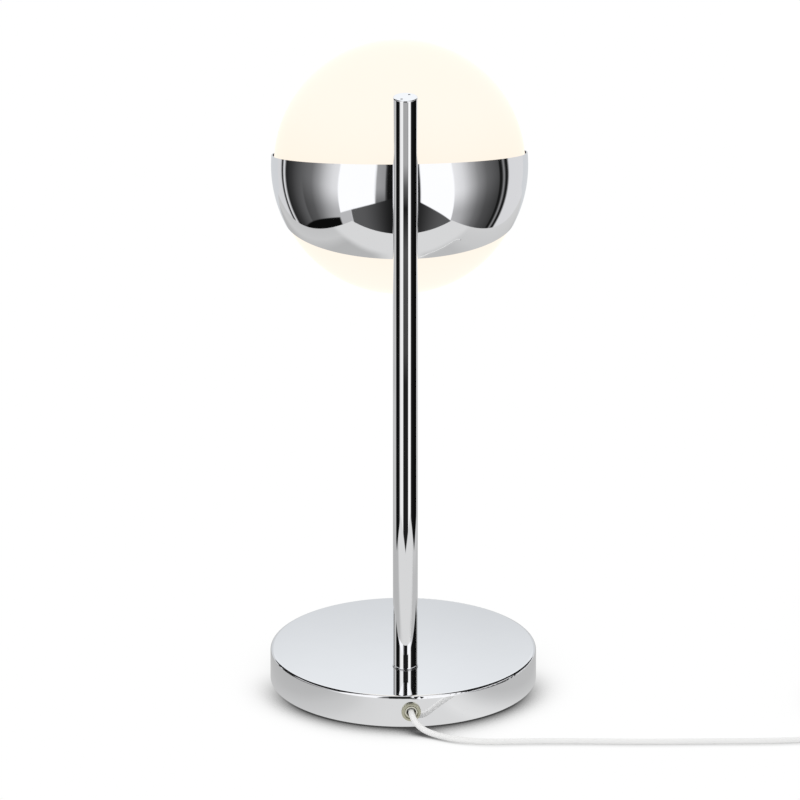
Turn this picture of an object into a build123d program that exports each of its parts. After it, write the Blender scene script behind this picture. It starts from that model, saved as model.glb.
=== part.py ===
from build123d import *
import math
import os

# Glass globe table lamp. Millimetres, +Z up, origin at the centre of the base's resting face.
# The column stands off the middle towards -Y, where the cord comes out, and the globe hangs
# towards +Y.

# ---- general fits ----
FIT = 0.05  # radial clearance of a push fit or a screwed joint
SLIP = 0.3  # clearance between pieces that drop past or lift off each other

# ---- base ----
BASE_D = 160.0
BASE_TOP = 20.7  # top face above the table
COVER_WALL = 1.5
COVER_TOP_R = 2.0  # rounding of the top edge
COVER_LIP_R = 1.0  # rounding of the lower edge
PAD_T = 1.5
PAD_PROUD = 0.7  # how far the pad stands below the cover's edge
PAD_INSET = 1.2
PLATE_T = 1.0
WEIGHT_T = 14.0
WEIGHT_CHAMFER = 1.0
POCKET_W = 36.0  # wiring pocket in the underside of the weight
POCKET_DEPTH = 8.5
POCKET_R = 6.0
GLAND_NOTCH_D = 18.0  # room in the weight's edge for the gland and its nut
BOSS_D = 14.0
BOSS_COUNT = 3
BOSS_INSET = 20.0  # screw bosses in from the base's edge
PLATE_SCREW_D = 3.9
PLATE_SCREW_L = 8.5
PLATE_HEAD_D = 7.6
PLATE_HEAD_T = 1.1
HEAD_RECESS_W = 0.9  # cross slot of the screws, as wide as deep

# ---- column ----
COLUMN_D = 15.0
COLUMN_WALL = 1.0
COLUMN_INSET = 49.0  # column's axis in from the base's edge
COLUMN_TOP = 387.7
FOOT_T = 0.5  # thin flange between the tube and the base
FOOT_PROUD = 0.2  # flange past the tube
SPIGOT_L = 30.0
TUBE_CHAMFER = 0.15
CAP_T = 2.0
CAP_EDGE_R = 0.8
CAP_PLUG_L = 10.0
PIN_HOLE_D = 1.5
PIN_HOLE_DEPTH = 1.3
PIN_HOLE_RING_R = 4.35
PIN_HOLE_ANGLE = 56.0

# ---- threaded tubes, washers and nuts of the M10 x 1 kind ----
THREAD_D = 9.8
THREAD_BORE_D = 6.4
STUD_ENGAGED = 21.5  # stud inside the foot
STUD_BELOW = 5.6  # stud below the cover
NUT_AF = 14.0
FOOT_NUT_T = 3.5
FOOT_WASHER_D = 22.0
FOOT_WASHER_T = 1.5
NUT_WELL_D = 26.0
ARM_NUT_T = 4.0
ARM_WASHER_D = 16.0
ARM_WASHER_T = 1.0
INSERT_L = 20.0
INSERT_HOLE_PAST = 4.0  # how far the insert's cross hole runs past the column's axis
NIPPLE_INNER = 3.6  # nipple's inner end from the column's axis
NIPPLE_IN_HOLDER = 7.0
LEAD_PAST_NIPPLE = 1.5  # how far the lead comes out of the nipple
SADDLE_D = 12.0
SADDLE_T = 1.0  # at its thinnest, between column and band

# ---- globe ----
GLOBE_BELOW_TOP = 77.0  # from the column's top down to the band's centre
BAND_R = 77.3
BAND_WALL = 0.8
RIM_TILT = 16.4  # the rim plane rises towards the column
RIM_OFFSET = 6.8  # rim plane above the band's centre, along its own normal
BAND_DROP = 33.6  # level lower edge below the band's centre
GLASS_WALL = 2.5
DOME_GAP = 1.7  # from the band's outside in to the dome's
DOME_IN_BAND = 7.0  # how far the dome sits below the rim
BOWL_GAP = 2.1  # from the band's outside in to the bowl's
BOWL_CENTRE_DROP = 2.6
BOWL_IN_BAND = 6.1  # how far the bowl reaches up inside the band's lower edge
REST_COUNT = 3
REST_W = 10.0
REST_T = 1.0
REST_REACH = 6.5
REST_LEG = 2.7
REST_LEG_T = 0.8
REST_PAD_T = 1.2
REST_PAD_W = 8.0
REST_PAD_L = 4.6

# ---- lampholder and bulb, E14 and P45 sizes ----
HOLDER_D = 28.0
HOLDER_WALL = 2.2
HOLDER_CAP_L = 20.0
HOLDER_NECK_D = 17.0
COLLAR_GAP = 0.4  # between the holder's mouth and the bulb's collar
HOLDER_FLOOR_T = 4.0
HOLDER_MOUTH_D = 16.4
HOLDER_RIB_COUNT = 16
HOLDER_RIB_D = 1.6
SHELL_BORE_D = 14.5
SHELL_WALL = 0.4
SHELL_L = 19.0
TONGUE_W = 6.0
TONGUE_T = 0.6
TONGUE_RISE = 1.6
TERMINAL_SIZE = 5.0
TERMINAL_SPACING = 11.0
BULB_CAP_D = 13.9
BULB_THREAD_DEPTH = 0.5
BULB_THREAD_PITCH = 2.82
BULB_THREAD_COUNT = 5
BULB_CAP_L = 24.4  # tip to the collar
BULB_TIP_D = 4.8
BULB_TIP_L = 1.2
BULB_INSULATOR_L = 2.8
BULB_INSULATOR_D = 9.6
BULB_L = 78.0
BULB_D = 45.0
BULB_WALL = 1.2
BULB_NECK_D = 17.0
GLOBE_IN_COLLAR = 7.4  # how far the collar's rim rises over the bulb's globe
COLLAR_RIM_D = 37.0

# ---- gland ----
GLAND_X = 1.5
GLAND_Z = 10.8
GLAND_FLANGE_D = 11.7
GLAND_FLANGE_T = 1.6
GLAND_GROOVE_D = 8.7
GLAND_GROOVE_DEPTH = 1.1
GLAND_BODY_D = 9.2
GLAND_BODY_L = 4.4
GLAND_NUT_AF = 11.0
GLAND_NUT_T = 2.2
SLEEVE_D = 7.3
SLEEVE_BORE_D = 5.9
SLEEVE_SET_BACK = 0.3

# ---- cord ----
CORD_D = 3.8
CORD_LIFT = 0.05  # cord off the table
LEAD_JOIN_DEPTH = 1.75  # inside the base's edge, where the held lead becomes the free cord
ARC_SHARE = 0.45  # share of the shorter run that an arc takes up
COIL_TURNS_A_LAYER = 2.5
COIL_LAYERS = 4
COIL_PITCH = 4.3
COIL_INNER_R = 16.0
COIL_PAST_EDGE = 104.0  # towards +Y, from the base's edge at the cord
CORE_D = 1.6
CORE_SPACING = 1.8

# ---- clamp on the lead inside the base ----
CLAMP_INSET = 14.0  # in from the base's edge
CLAMP_W = 16.0
CLAMP_L = 6.0
CLAMP_BELOW = 2.8  # clamp below the lead's centre
LEAD_BEND_RUN = 15.0  # level run of the lead before it turns up the column
LEAD_DROP_RUN = 10.0  # slanting run before that
CLAMP_SCREW_D = 2.9
CLAMP_SCREW_SPACING = 11.0
CLAMP_SCREW_L = 9.0
CLAMP_HEAD_D = 5.2
CLAMP_HEAD_T = 1.7

# ---- switch on the cord ----
SWITCH_X = 262.0
SWITCH_PAST_EDGE = 30.0  # towards +Y, from the base's edge at the cord
SWITCH_L = 60.0
SWITCH_W = 25.0
SWITCH_H = 16.0
SWITCH_SPLIT = 6.0
SWITCH_WALL = 2.0
SWITCH_CORNER_R = 9.0
SWITCH_EDGE_R = 2.5
ROCKER_W = 9.4
ROCKER_R = 12.1  # end walls of the rocker about its pivot
ROCKER_CENTRE_H = 4.6
ROCKER_BELOW = 1.5
ROCKER_TILT = 8.0
PIVOT_H = 11.5
PIVOT_D = 2.4
PIVOT_L = 1.9
CHEEK_T = 2.0
CHEEK_W = 8.0
SWITCH_SCREW_D = 2.6
SWITCH_SCREW_Y = 24.0
SWITCH_SCREW_X = 7.0
SWITCH_POST_D = 5.0
SWITCH_BLOCK = 5.0
SWITCH_BLOCK_Y = 17.0

# ---- plug, two-pin Europlug sizes ----
PLUG_X = 273.0
PLUG_PAST_EDGE = 172.0  # towards +Y, from the base's edge at the cord
PLUG_W = 35.3
PLUG_T = 13.7
PLUG_LIFT = 0.05
PLUG_L = 35.0
PLUG_NECK_W = 13.0
PLUG_NECK_T = 11.0
PLUG_SHOULDER_L = 15.0
PLUG_EDGE_R = 1.2
PIN_D = 4.0
PIN_L = 19.0
PIN_SPACING = 18.6
PIN_IN_BODY = 8.0
PIN_CORE_D = 2.7  # the pin inside its insulating sleeve
SLEEVED_L = 10.0  # sleeve outside the body
PIN_SLEEVE_D = 3.4
PIN_SLEEVE_IN_BODY = 2.0
RELIEF_L = 18.0
RELIEF_TIP_D = 5.6
RELIEF_ROOT_D = 9.6
RELIEF_SLOTS = 4
RELIEF_BORE_L = 8.0
TIE_T = 0.6
TIE_W = 9.0
TIE_GAP = 0.2
TIE_CORNER_R = 1.5

# ---- places that follow from the sizes above ----
base_r = BASE_D / 2
edge_y = -base_r  # the base's edge on the cord's side
column_y = edge_y + COLUMN_INSET
clamp_y = edge_y + CLAMP_INSET
boss_ring_r = base_r - BOSS_INSET
switch_y = edge_y + SWITCH_PAST_EDGE
coil_y = edge_y + COIL_PAST_EDGE
plug_start_y = edge_y + PLUG_PAST_EDGE
cover_low = PAD_PROUD
cover_ceiling = BASE_TOP - COVER_WALL
cover_bore_r = base_r - COVER_WALL
plate_low = PAD_T
plate_top = plate_low + PLATE_T
weight_low = cover_ceiling - WEIGHT_T
pocket_ceiling = weight_low + POCKET_DEPTH
weight_r = cover_bore_r - SLIP
column_r = COLUMN_D / 2
column_bore_r = column_r - COLUMN_WALL
tube_low = BASE_TOP + FOOT_T
globe_z = COLUMN_TOP - GLOBE_BELOW_TOP
stud_r = THREAD_D / 2
stud_bore_r = THREAD_BORE_D / 2
tapped_r = stud_r + FIT
washer_low = cover_ceiling - FOOT_WASHER_T
foot_nut_low = washer_low - FOOT_NUT_T
band_bore_r = BAND_R - BAND_WALL
dome_r = BAND_R - DOME_GAP
bowl_r = BAND_R - BOWL_GAP
globe_y = column_y + column_r + SADDLE_T + BAND_R
globe_centre = Vector(0, globe_y, globe_z)
tilt = math.radians(RIM_TILT)
rim_normal = Vector(0, math.sin(tilt), math.cos(tilt))
rim_frame = Plane(origin=globe_centre, x_dir=(1, 0, 0), z_dir=rim_normal)
dome_edge = RIM_OFFSET - DOME_IN_BAND
band_low_z = globe_z - BAND_DROP
bowl_edge_z = band_low_z + BOWL_IN_BAND
bowl_centre = globe_centre - Vector(0, 0, BOWL_CENTRE_DROP)
rest_pad_top = dome_edge - SLIP
rest_top = rest_pad_top - REST_PAD_T
washer_r = ARM_WASHER_D / 2
band_hollow_at_washer = band_bore_r - math.sqrt(band_bore_r**2 - washer_r**2)
arm_washer_y = globe_y - band_bore_r + band_hollow_at_washer
arm_nut_y = arm_washer_y + ARM_WASHER_T
holder_y = arm_nut_y + ARM_NUT_T
holder_body_y = holder_y + HOLDER_CAP_L
holder_seat_y = holder_body_y + HOLDER_FLOOR_T
holder_r = HOLDER_D / 2
shell_r = SHELL_BORE_D / 2 + SHELL_WALL
bulb_tip_y = holder_seat_y + TONGUE_T + TONGUE_RISE + SLIP
bulb_collar_y = bulb_tip_y + BULB_CAP_L
collar_l = BULB_L - BULB_D + GLOBE_IN_COLLAR - BULB_CAP_L
holder_body_l = bulb_collar_y - COLLAR_GAP - holder_body_y
cord_r = CORD_D / 2
floor_cord_z = cord_r + CORD_LIFT
gland_face_y = edge_y - GLAND_FLANGE_T
gland_end_y = edge_y + COVER_WALL + GLAND_BODY_L
cord_start_y = edge_y + LEAD_JOIN_DEPTH
clamp_low = GLAND_Z - CLAMP_BELOW
lead_low_z = plate_top + CORD_D / 2 + 2 * SLIP
coil_turns = COIL_TURNS_A_LAYER * COIL_LAYERS
coil_outer_r = COIL_INNER_R + COIL_PITCH * COIL_TURNS_A_LAYER
coil_x = SWITCH_X + coil_outer_r
coil_low_z = floor_cord_z + TIE_T + TIE_GAP  # the strap passes under the coil
coil_high_z = coil_low_z + (COIL_LAYERS - 1) * COIL_PITCH
switch_cord_z = SWITCH_SPLIT
plug_z = PLUG_T / 2 + PLUG_LIFT
plug_end_y = plug_start_y + PLUG_L
relief_tip_y = plug_start_y - RELIEF_L

# ---- the cord's routes, chosen point by point; Y is counted from the base's edge ----


def from_edge(points):
    """Puts a route's points in their place, whatever the size of the base."""
    return [(x, y + edge_y, z) for x, y, z in points]


# From the gland to the switch.
LEAD_ROUTE = from_edge([
    (GLAND_X, LEAD_JOIN_DEPTH, GLAND_Z),
    (GLAND_X, -4.2, GLAND_Z),
    (3.6, -7.8, 7.0),
    (8.3, -11.2, 3.4),
    (15.8, -16.2, floor_cord_z),
    (28.3, -24.4, floor_cord_z),
    (45.4, -28.8, floor_cord_z),
    (69.5, -28.3, floor_cord_z),
    (100.0, -29.4, floor_cord_z),
    (138.0, -32.2, floor_cord_z),
    (178.0, -32.9, floor_cord_z),
    (211.0, -33.8, floor_cord_z),
    (236.0, -33.0, floor_cord_z),
    (249.5, -30.2, 2.3),
    (258.5, -21.0, 3.8),
    (SWITCH_X, -8.0, switch_cord_z),
    (SWITCH_X, 5.0, switch_cord_z),
])
# From the switch to the coil.
TAIL_ROUTE = from_edge([
    (SWITCH_X, 55.0, switch_cord_z),
    (SWITCH_X, 66.0, switch_cord_z),
    (262.8, 77.0, 4.1),
    (SWITCH_X, 89.0, coil_low_z),
    (SWITCH_X, COIL_PAST_EDGE - CORD_D, coil_low_z),
])
# From the coil to the plug.
END_ROUTE = from_edge([
    (SWITCH_X, COIL_PAST_EDGE + CORD_D, coil_high_z),
    (SWITCH_X, 117.0, coil_high_z),
    (264.5, 127.0, 13.2),
    (270.0, 137.5, 9.0),
    (PLUG_X, 148.5, plug_z),
    (PLUG_X, PLUG_PAST_EDGE - RELIEF_L + RELIEF_BORE_L, plug_z),
])
# The held lead, from the gland round the pocket, up the column and out to the lampholder.
HELD_ROUTE = from_edge([
    (GLAND_X, LEAD_JOIN_DEPTH, GLAND_Z),
    (GLAND_X, COLUMN_INSET - LEAD_BEND_RUN - LEAD_DROP_RUN, GLAND_Z),
    (GLAND_X / 2, COLUMN_INSET - LEAD_BEND_RUN, lead_low_z),
    (0.0, COLUMN_INSET, lead_low_z),
    (0.0, COLUMN_INSET, globe_z),
]) + [(0.0, holder_y + NIPPLE_IN_HOLDER + LEAD_PAST_NIPPLE, globe_z)]


def ring(outer_r, inner_r, low, high, x=0.0, y=0.0):
    """An upright ring, or a disc where inner_r is nothing."""
    body = Pos(x, y, (low + high) / 2) * Cylinder(outer_r, high - low)
    if inner_r:
        body -= Pos(x, y, (low + high) / 2) * Cylinder(inner_r, (high - low) + 1)
    return body


def along_y(radius, y_from, y_to, x=0.0, z=0.0):
    """A round bar along Y."""
    return Pos(x, (y_from + y_to) / 2, z) * Rot(90, 0, 0) * Cylinder(radius, y_to - y_from)


def hex_along(height, across_flats, bore_r):
    """A hexagon nut about Z, standing on z = 0, with its corners bevelled."""
    hexagon = RegularPolygon(across_flats / 2, 6, major_radius=False)
    nut = extrude(hexagon, height)
    corner_r = across_flats / math.sqrt(3)
    bevel = (corner_r - across_flats / 2) * 0.6
    blank = chamfer(Cylinder(corner_r, height).edges().filter_by(GeomType.CIRCLE), bevel)
    return (nut & (Pos(0, 0, height / 2) * blank)) - Cylinder(bore_r, 3 * height)


def facing_y(solid, x, y, z):
    """Turns a piece built on z = 0 so that it stands along +Y from the given place."""
    return Pos(x, y, z) * Rot(-90, 0, 0) * solid


def edges_at_z(solid, z):
    """The edges that lie at one height."""
    return [e for e in solid.edges() if abs(e.bounding_box().min.Z - z) < 1e-3
            and abs(e.bounding_box().max.Z - z) < 1e-3]


def ring_places(radius, count, first_angle):
    """Places evenly spaced on a circle."""
    angles = [math.radians(first_angle + 360 * k / count) for k in range(count)]
    return [(radius * math.cos(a), radius * math.sin(a)) for a in angles]


def cross_slot(width, length, depth):
    """The cross recess of a screw head, cut down from z = 0."""
    bar = Pos(0, 0, -depth / 2) * Box(length, width, depth)
    return bar + Rot(0, 0, 90) * bar


def screw(shank_d, shank_l, head_d, head_t):
    """A pan-head screw whose head stands on z = 0 and whose shank points down."""
    head = Pos(0, 0, head_t / 2) * Cylinder(head_d / 2, head_t)
    head = fillet(head.edges().group_by(Axis.Z)[-1], head_t * 0.45)
    shank = Pos(0, 0, -shank_l / 2) * Cylinder(shank_d / 2, shank_l)
    return head + shank - Pos(0, 0, head_t) * cross_slot(HEAD_RECESS_W, head_d * 0.6, head_t / 2)


# ---- cord paths ----


def arc_radii(points):
    """The largest arc at each corner that its two runs allow."""
    radii = []
    for before, here, after in zip(points, points[1:], points[2:]):
        run_in = Vector(here) - Vector(before)
        run_out = Vector(after) - Vector(here)
        half_turn = math.radians(run_in.get_angle(run_out)) / 2
        radii.append(ARC_SHARE * min(run_in.length, run_out.length) / math.tan(half_turn))
    return radii


def tube_on(path, diameter):
    """A round tube swept along a path."""
    start = Plane(origin=path @ 0, z_dir=path % 0)
    return sweep(start * Circle(diameter / 2), path=path)


def free_cord(name, points):
    """A stretch of the cord: straight runs joined by tangent arcs."""
    radii = arc_radii(points)
    path = FilletPolyline(*points, radius=radii)
    tube = tube_on(path, CORD_D)
    wanted = math.pi * cord_r**2 * path.length
    print(f"{name}: {path.length:.1f} mm long, radii {[round(r, 1) for r in radii]}, "
          f"volume {tube.volume / wanted:.4f} of section times length")
    return tube


def coil_point(turned):
    """The coil's centreline after so many turns: it spirals in and out, a layer higher each time."""
    layer = turned / COIL_TURNS_A_LAYER
    swing = abs((layer + 1) % 2 - 1)  # 0 at the outside, 1 at the inside
    if turned <= 0:
        swing = 0.0
    radius = coil_outer_r - swing * COIL_PITCH * COIL_TURNS_A_LAYER
    nearest = round(layer)
    past = (turned - nearest * COIL_TURNS_A_LAYER) / 0.25  # the climb takes half a turn
    if 0 < nearest < COIL_LAYERS and abs(past) < 1:
        level = nearest - 0.5 + past / 2
    else:
        level = min(math.floor(layer), COIL_LAYERS - 1)
    angle = math.pi - 2 * math.pi * turned
    return Vector(coil_x + radius * math.cos(angle), coil_y + radius * math.sin(angle),
                  coil_low_z + COIL_PITCH * level)


def biarc(p0, t0, p1, t1):
    """Two arcs that leave p0 along t0, meet each other in line and reach p1 along t1."""
    v, t = p1 - p0, t0 + t1
    slack = 2 * (1 - t0.dot(t1))
    reach = (-v.dot(t) + math.sqrt(v.dot(t) ** 2 + slack * v.dot(v))) / slack
    q0, q1 = p0 + t0 * reach, p1 - t1 * reach
    middle = (q0 + q1) * 0.5
    return [TangentArc(p0, middle, tangent=t0),
            TangentArc(middle, p1, tangent=(q1 - q0).normalized())]


def coil_path():
    """The whole coil as quarter turns, each a biarc, with a straight end at each side."""
    steps = int(4 * coil_turns)
    small = 1e-4
    places = [coil_point(k / 4) for k in range(steps + 1)]
    heading = [Vector(0, 1, 0)]
    for k in range(1, steps):
        heading.append((coil_point(k / 4 + small) - coil_point(k / 4 - small)).normalized())
    heading.append(Vector(0, 1, 0))
    straight = Vector(0, CORD_D, 0)
    edges = [Line(places[0] - straight, places[0])]
    for k in range(steps):
        edges += biarc(places[k], heading[k], places[k + 1], heading[k + 1])
    edges.append(Line(places[-1], places[-1] + straight))
    return Wire(edges)


def least_gap(path, steps=1500):
    """The least distance between the coil's turns, measured on points of its centreline."""
    points = [path @ (k / steps) for k in range(steps + 1)]
    far_along = int(steps * 2 * math.pi * COIL_INNER_R * 0.5 / path.length)
    best = 1e9
    for i, p in enumerate(points):
        for q in points[i + far_along:]:
            dz = p.Z - q.Z
            if abs(dz) < 2 * CORD_D:
                best = min(best, (p.X - q.X) ** 2 + (p.Y - q.Y) ** 2 + dz * dz)
    return math.sqrt(best) - CORD_D


# ---- base ----


def gland_cut(radius):
    """The gland's hole through the cover's side."""
    return along_y(radius, edge_y - COVER_WALL, edge_y + 2 * COVER_WALL, GLAND_X, GLAND_Z)


def base_cover():
    outside = ring(base_r, 0, cover_low, BASE_TOP)
    outside = fillet(edges_at_z(outside, BASE_TOP), COVER_TOP_R)
    outside = fillet(edges_at_z(outside, cover_low), COVER_LIP_R)
    inside = ring(cover_bore_r, 0, cover_low - 1, cover_ceiling)
    inside = fillet(edges_at_z(inside, cover_ceiling), COVER_TOP_R / 4)
    stud_hole = ring(stud_r + SLIP / 2, 0, cover_low, BASE_TOP + 1, y=column_y)
    return outside - inside - stud_hole - gland_cut(GLAND_BODY_D / 2 + FIT)


def wiring_pocket():
    """The room for the lead in the underside of the weight, rounded at its inner end."""
    pocket = Pos(0, edge_y + COLUMN_INSET / 2, weight_low + POCKET_DEPTH / 2) * Box(
        POCKET_W, COLUMN_INSET, POCKET_DEPTH)
    inner_corners = pocket.edges().filter_by(Axis.Z).group_by(Axis.Y)[-1]
    return fillet(inner_corners, POCKET_R)


def base_weight():
    disc = ring(weight_r, 0, weight_low, cover_ceiling)
    disc = chamfer(edges_at_z(disc, cover_ceiling), WEIGHT_CHAMFER)
    disc -= wiring_pocket()
    disc -= ring(NUT_WELL_D / 2, 0, weight_low - 1, cover_ceiling + 1, y=column_y)
    disc -= ring(GLAND_NOTCH_D / 2, 0, weight_low - 1, cover_ceiling + 1, GLAND_X, edge_y)
    for x, y in ring_places(boss_ring_r, BOSS_COUNT, 90):
        disc += ring(BOSS_D / 2, 0, plate_top, weight_low, x, y)
        disc -= ring(PLATE_SCREW_D / 2 + FIT, 0, plate_top - 1, plate_low + PLATE_SCREW_L + 1, x, y)
    for side in (-1, 1):
        x = GLAND_X + side * CLAMP_SCREW_SPACING / 2
        disc -= ring(CLAMP_SCREW_D / 2 + FIT, 0, pocket_ceiling - 1,
                     clamp_low + CLAMP_SCREW_L + 0.5, x, clamp_y)
    return disc


def base_plate():
    plate = ring(weight_r, 0, plate_low, plate_top)
    for x, y in ring_places(boss_ring_r, BOSS_COUNT, 90):
        plate -= ring(PLATE_SCREW_D / 2 + SLIP, 0, plate_low - 1, plate_top + 1, x, y)
    return plate


def plate_screws():
    one = Rot(180, 0, 0) * screw(PLATE_SCREW_D, PLATE_SCREW_L, PLATE_HEAD_D, PLATE_HEAD_T)
    places = ring_places(boss_ring_r, BOSS_COUNT, 90)
    return [Pos(x, y, plate_low) * one for x, y in places]


def foot_pad():
    pad = ring(cover_bore_r - PAD_INSET, 0, 0, PAD_T)
    for x, y in ring_places(boss_ring_r, BOSS_COUNT, 90):
        pad -= ring(PLATE_HEAD_D / 2 + 2 * SLIP, 0, -1, PAD_T + 1, x, y)
    return pad


# ---- gland and clamp ----


def cord_gland():
    flange = along_y(GLAND_FLANGE_D / 2, gland_face_y, edge_y, GLAND_X, GLAND_Z)
    flange = fillet(flange.edges().group_by(Axis.Y)[0], GLAND_FLANGE_T * 0.4)
    body = along_y(GLAND_BODY_D / 2, edge_y, gland_end_y, GLAND_X, GLAND_Z)
    groove = along_y(GLAND_GROOVE_D / 2, gland_face_y - 1, gland_face_y + GLAND_GROOVE_DEPTH,
                     GLAND_X, GLAND_Z)
    bore = along_y(SLEEVE_D / 2 + FIT, gland_face_y - 1, gland_end_y + 1, GLAND_X, GLAND_Z)
    return flange + body - groove - bore


def gland_sleeve():
    low, high = gland_face_y + SLEEVE_SET_BACK, gland_end_y
    tube = along_y(SLEEVE_D / 2, low, high, GLAND_X, GLAND_Z)
    tube = fillet(tube.edges().group_by(Axis.Y)[0], (SLEEVE_D - SLEEVE_BORE_D) / 5)
    return tube - along_y(SLEEVE_BORE_D / 2, low - 1, high + 1, GLAND_X, GLAND_Z)


def gland_nut():
    nut = hex_along(GLAND_NUT_T, GLAND_NUT_AF, GLAND_BODY_D / 2 + FIT)
    curve = cover_bore_r - math.sqrt(cover_bore_r**2 - (GLAND_NUT_AF / math.sqrt(3) + GLAND_X) ** 2)
    return facing_y(nut, GLAND_X, -cover_bore_r + curve, GLAND_Z)


def cord_clamp():
    height = pocket_ceiling - clamp_low
    block = Pos(GLAND_X, clamp_y, clamp_low + height / 2) * Box(CLAMP_W, CLAMP_L, height)
    block = fillet(block.edges().filter_by(Axis.Z), CLAMP_L / 4)
    block -= along_y(cord_r + FIT, clamp_y - CLAMP_L, clamp_y + CLAMP_L, GLAND_X, GLAND_Z)
    for side in (-1, 1):
        x = GLAND_X + side * CLAMP_SCREW_SPACING / 2
        block -= ring(CLAMP_SCREW_D / 2 + FIT, 0, clamp_low - 1, pocket_ceiling + 1, x, clamp_y)
    return block


def clamp_screws():
    one = Rot(180, 0, 0) * screw(CLAMP_SCREW_D, CLAMP_SCREW_L, CLAMP_HEAD_D, CLAMP_HEAD_T)
    return [Pos(GLAND_X + side * CLAMP_SCREW_SPACING / 2, clamp_y, clamp_low) * one
            for side in (-1, 1)]


# ---- column ----


def column_foot():
    """A thin flange on the base and a spigot that carries the tube."""
    flange = ring(column_r + FOOT_PROUD, 0, BASE_TOP, tube_low)
    spigot = ring(column_bore_r - FIT, 0, tube_low, tube_low + SPIGOT_L)
    foot = flange + chamfer(edges_at_z(spigot, tube_low + SPIGOT_L), COLUMN_WALL)
    foot -= ring(tapped_r, 0, BASE_TOP - 1, BASE_TOP + STUD_ENGAGED)
    foot -= ring(stud_bore_r, 0, BASE_TOP, tube_low + SPIGOT_L + 1)
    return Pos(0, column_y, 0) * foot


def foot_stud():
    low, high = cover_ceiling - STUD_BELOW, BASE_TOP + STUD_ENGAGED
    return ring(stud_r, stud_bore_r, low, high, y=column_y)


def foot_washer():
    return ring(FOOT_WASHER_D / 2, stud_r + SLIP / 2, washer_low, cover_ceiling, y=column_y)


def foot_nut():
    return Pos(0, column_y, foot_nut_low) * hex_along(FOOT_NUT_T, NUT_AF, tapped_r)


def column_tube():
    tube = ring(column_r, 0, tube_low, COLUMN_TOP - CAP_T)
    tube = chamfer(edges_at_z(tube, tube_low), TUBE_CHAMFER)
    tube -= ring(column_bore_r, 0, tube_low - 1, COLUMN_TOP)
    tube = Pos(0, column_y, 0) * tube
    return tube - along_y(stud_r + SLIP / 2, column_y, column_y + COLUMN_D, z=globe_z)


def column_cap():
    disc = fillet(edges_at_z(ring(column_r, 0, COLUMN_TOP - CAP_T, COLUMN_TOP), COLUMN_TOP),
                  CAP_EDGE_R)
    plug = ring(column_bore_r - FIT, 0, COLUMN_TOP - CAP_T - CAP_PLUG_L, COLUMN_TOP - CAP_T)
    cap = disc + plug
    for x, y in ring_places(PIN_HOLE_RING_R, 2, PIN_HOLE_ANGLE):
        cap -= ring(PIN_HOLE_D / 2, 0, COLUMN_TOP - PIN_HOLE_DEPTH, COLUMN_TOP + 1, x, y)
    return Pos(0, column_y, 0) * cap


# ---- arm between column and band ----


def nipple_insert():
    slug = ring(column_bore_r - FIT, 0, globe_z - INSERT_L / 2, globe_z + INSERT_L / 2, y=column_y)
    slug -= ring(stud_bore_r, 0, globe_z - INSERT_L, globe_z, y=column_y)
    return slug - along_y(tapped_r, column_y - INSERT_HOLE_PAST, column_y + COLUMN_D, z=globe_z)


def arm_nipple():
    low, high = column_y + NIPPLE_INNER, holder_y + NIPPLE_IN_HOLDER
    rod = along_y(stud_r, low, high, z=globe_z)
    return rod - along_y(stud_bore_r, low - 1, high + 1, z=globe_z)


def arm_saddle():
    blank = along_y(SADDLE_D / 2, column_y, globe_y - BAND_R + SADDLE_D, z=globe_z)
    blank -= Pos(0, column_y, globe_z) * Cylinder(column_r, 2 * SADDLE_D)
    blank -= Pos(*globe_centre) * Sphere(BAND_R)
    return blank - along_y(stud_r + SLIP / 2, column_y, globe_y, z=globe_z)


def arm_washer():
    washer = Cylinder(washer_r, ARM_WASHER_T) - Cylinder(stud_r + SLIP / 2, 2 * ARM_WASHER_T)
    tooth = Pos(washer_r, 0, 0) * Cylinder(ARM_WASHER_T / 2, 2 * ARM_WASHER_T)
    for k in range(12):
        washer -= Rot(0, 0, 30 * k) * tooth
    return facing_y(Pos(0, 0, ARM_WASHER_T / 2) * washer, 0, arm_washer_y, globe_z)


def arm_nut():
    return facing_y(hex_along(ARM_NUT_T, NUT_AF, tapped_r), 0, arm_nut_y, globe_z)


# ---- globe ----


def hollow_ball(outer_r, wall):
    return Sphere(outer_r) - Sphere(outer_r - wall)


def chrome_band():
    shell = Pos(*globe_centre) * hollow_ball(BAND_R, BAND_WALL)
    rim = rim_frame.offset(RIM_OFFSET)
    shell = split(shell, bisect_by=rim, keep=Keep.BOTTOM)
    shell = split(shell, bisect_by=Plane.XY.offset(band_low_z), keep=Keep.TOP)
    return shell - along_y(stud_r + SLIP / 2, column_y, globe_y - BAND_R / 2, z=globe_z)


def glass_dome():
    shell = Pos(*globe_centre) * hollow_ball(dome_r, GLASS_WALL)
    return split(shell, bisect_by=rim_frame.offset(dome_edge), keep=Keep.TOP)


def glass_bowl():
    shell = Pos(*bowl_centre) * hollow_ball(bowl_r, GLASS_WALL)
    return split(shell, bisect_by=Plane.XY.offset(bowl_edge_z), keep=Keep.BOTTOM)


def rest_angles():
    """The first rest is at the front, away from the column."""
    return [90 + 360 * k / REST_COUNT for k in range(REST_COUNT)]


def dome_rests():
    shelf = Pos(band_bore_r - REST_REACH / 2, 0, rest_top - REST_T / 2) * Box(
        REST_REACH, REST_W, REST_T)
    leg = Pos(band_bore_r - REST_REACH / 2, 0, rest_top - REST_T - REST_LEG / 2) * Box(
        REST_REACH, REST_W, REST_LEG)
    leg &= hollow_ball(band_bore_r, REST_LEG_T)
    one = (shelf & Sphere(band_bore_r)) + leg
    return [rim_frame * (Rot(0, 0, angle) * one) for angle in rest_angles()]


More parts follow.
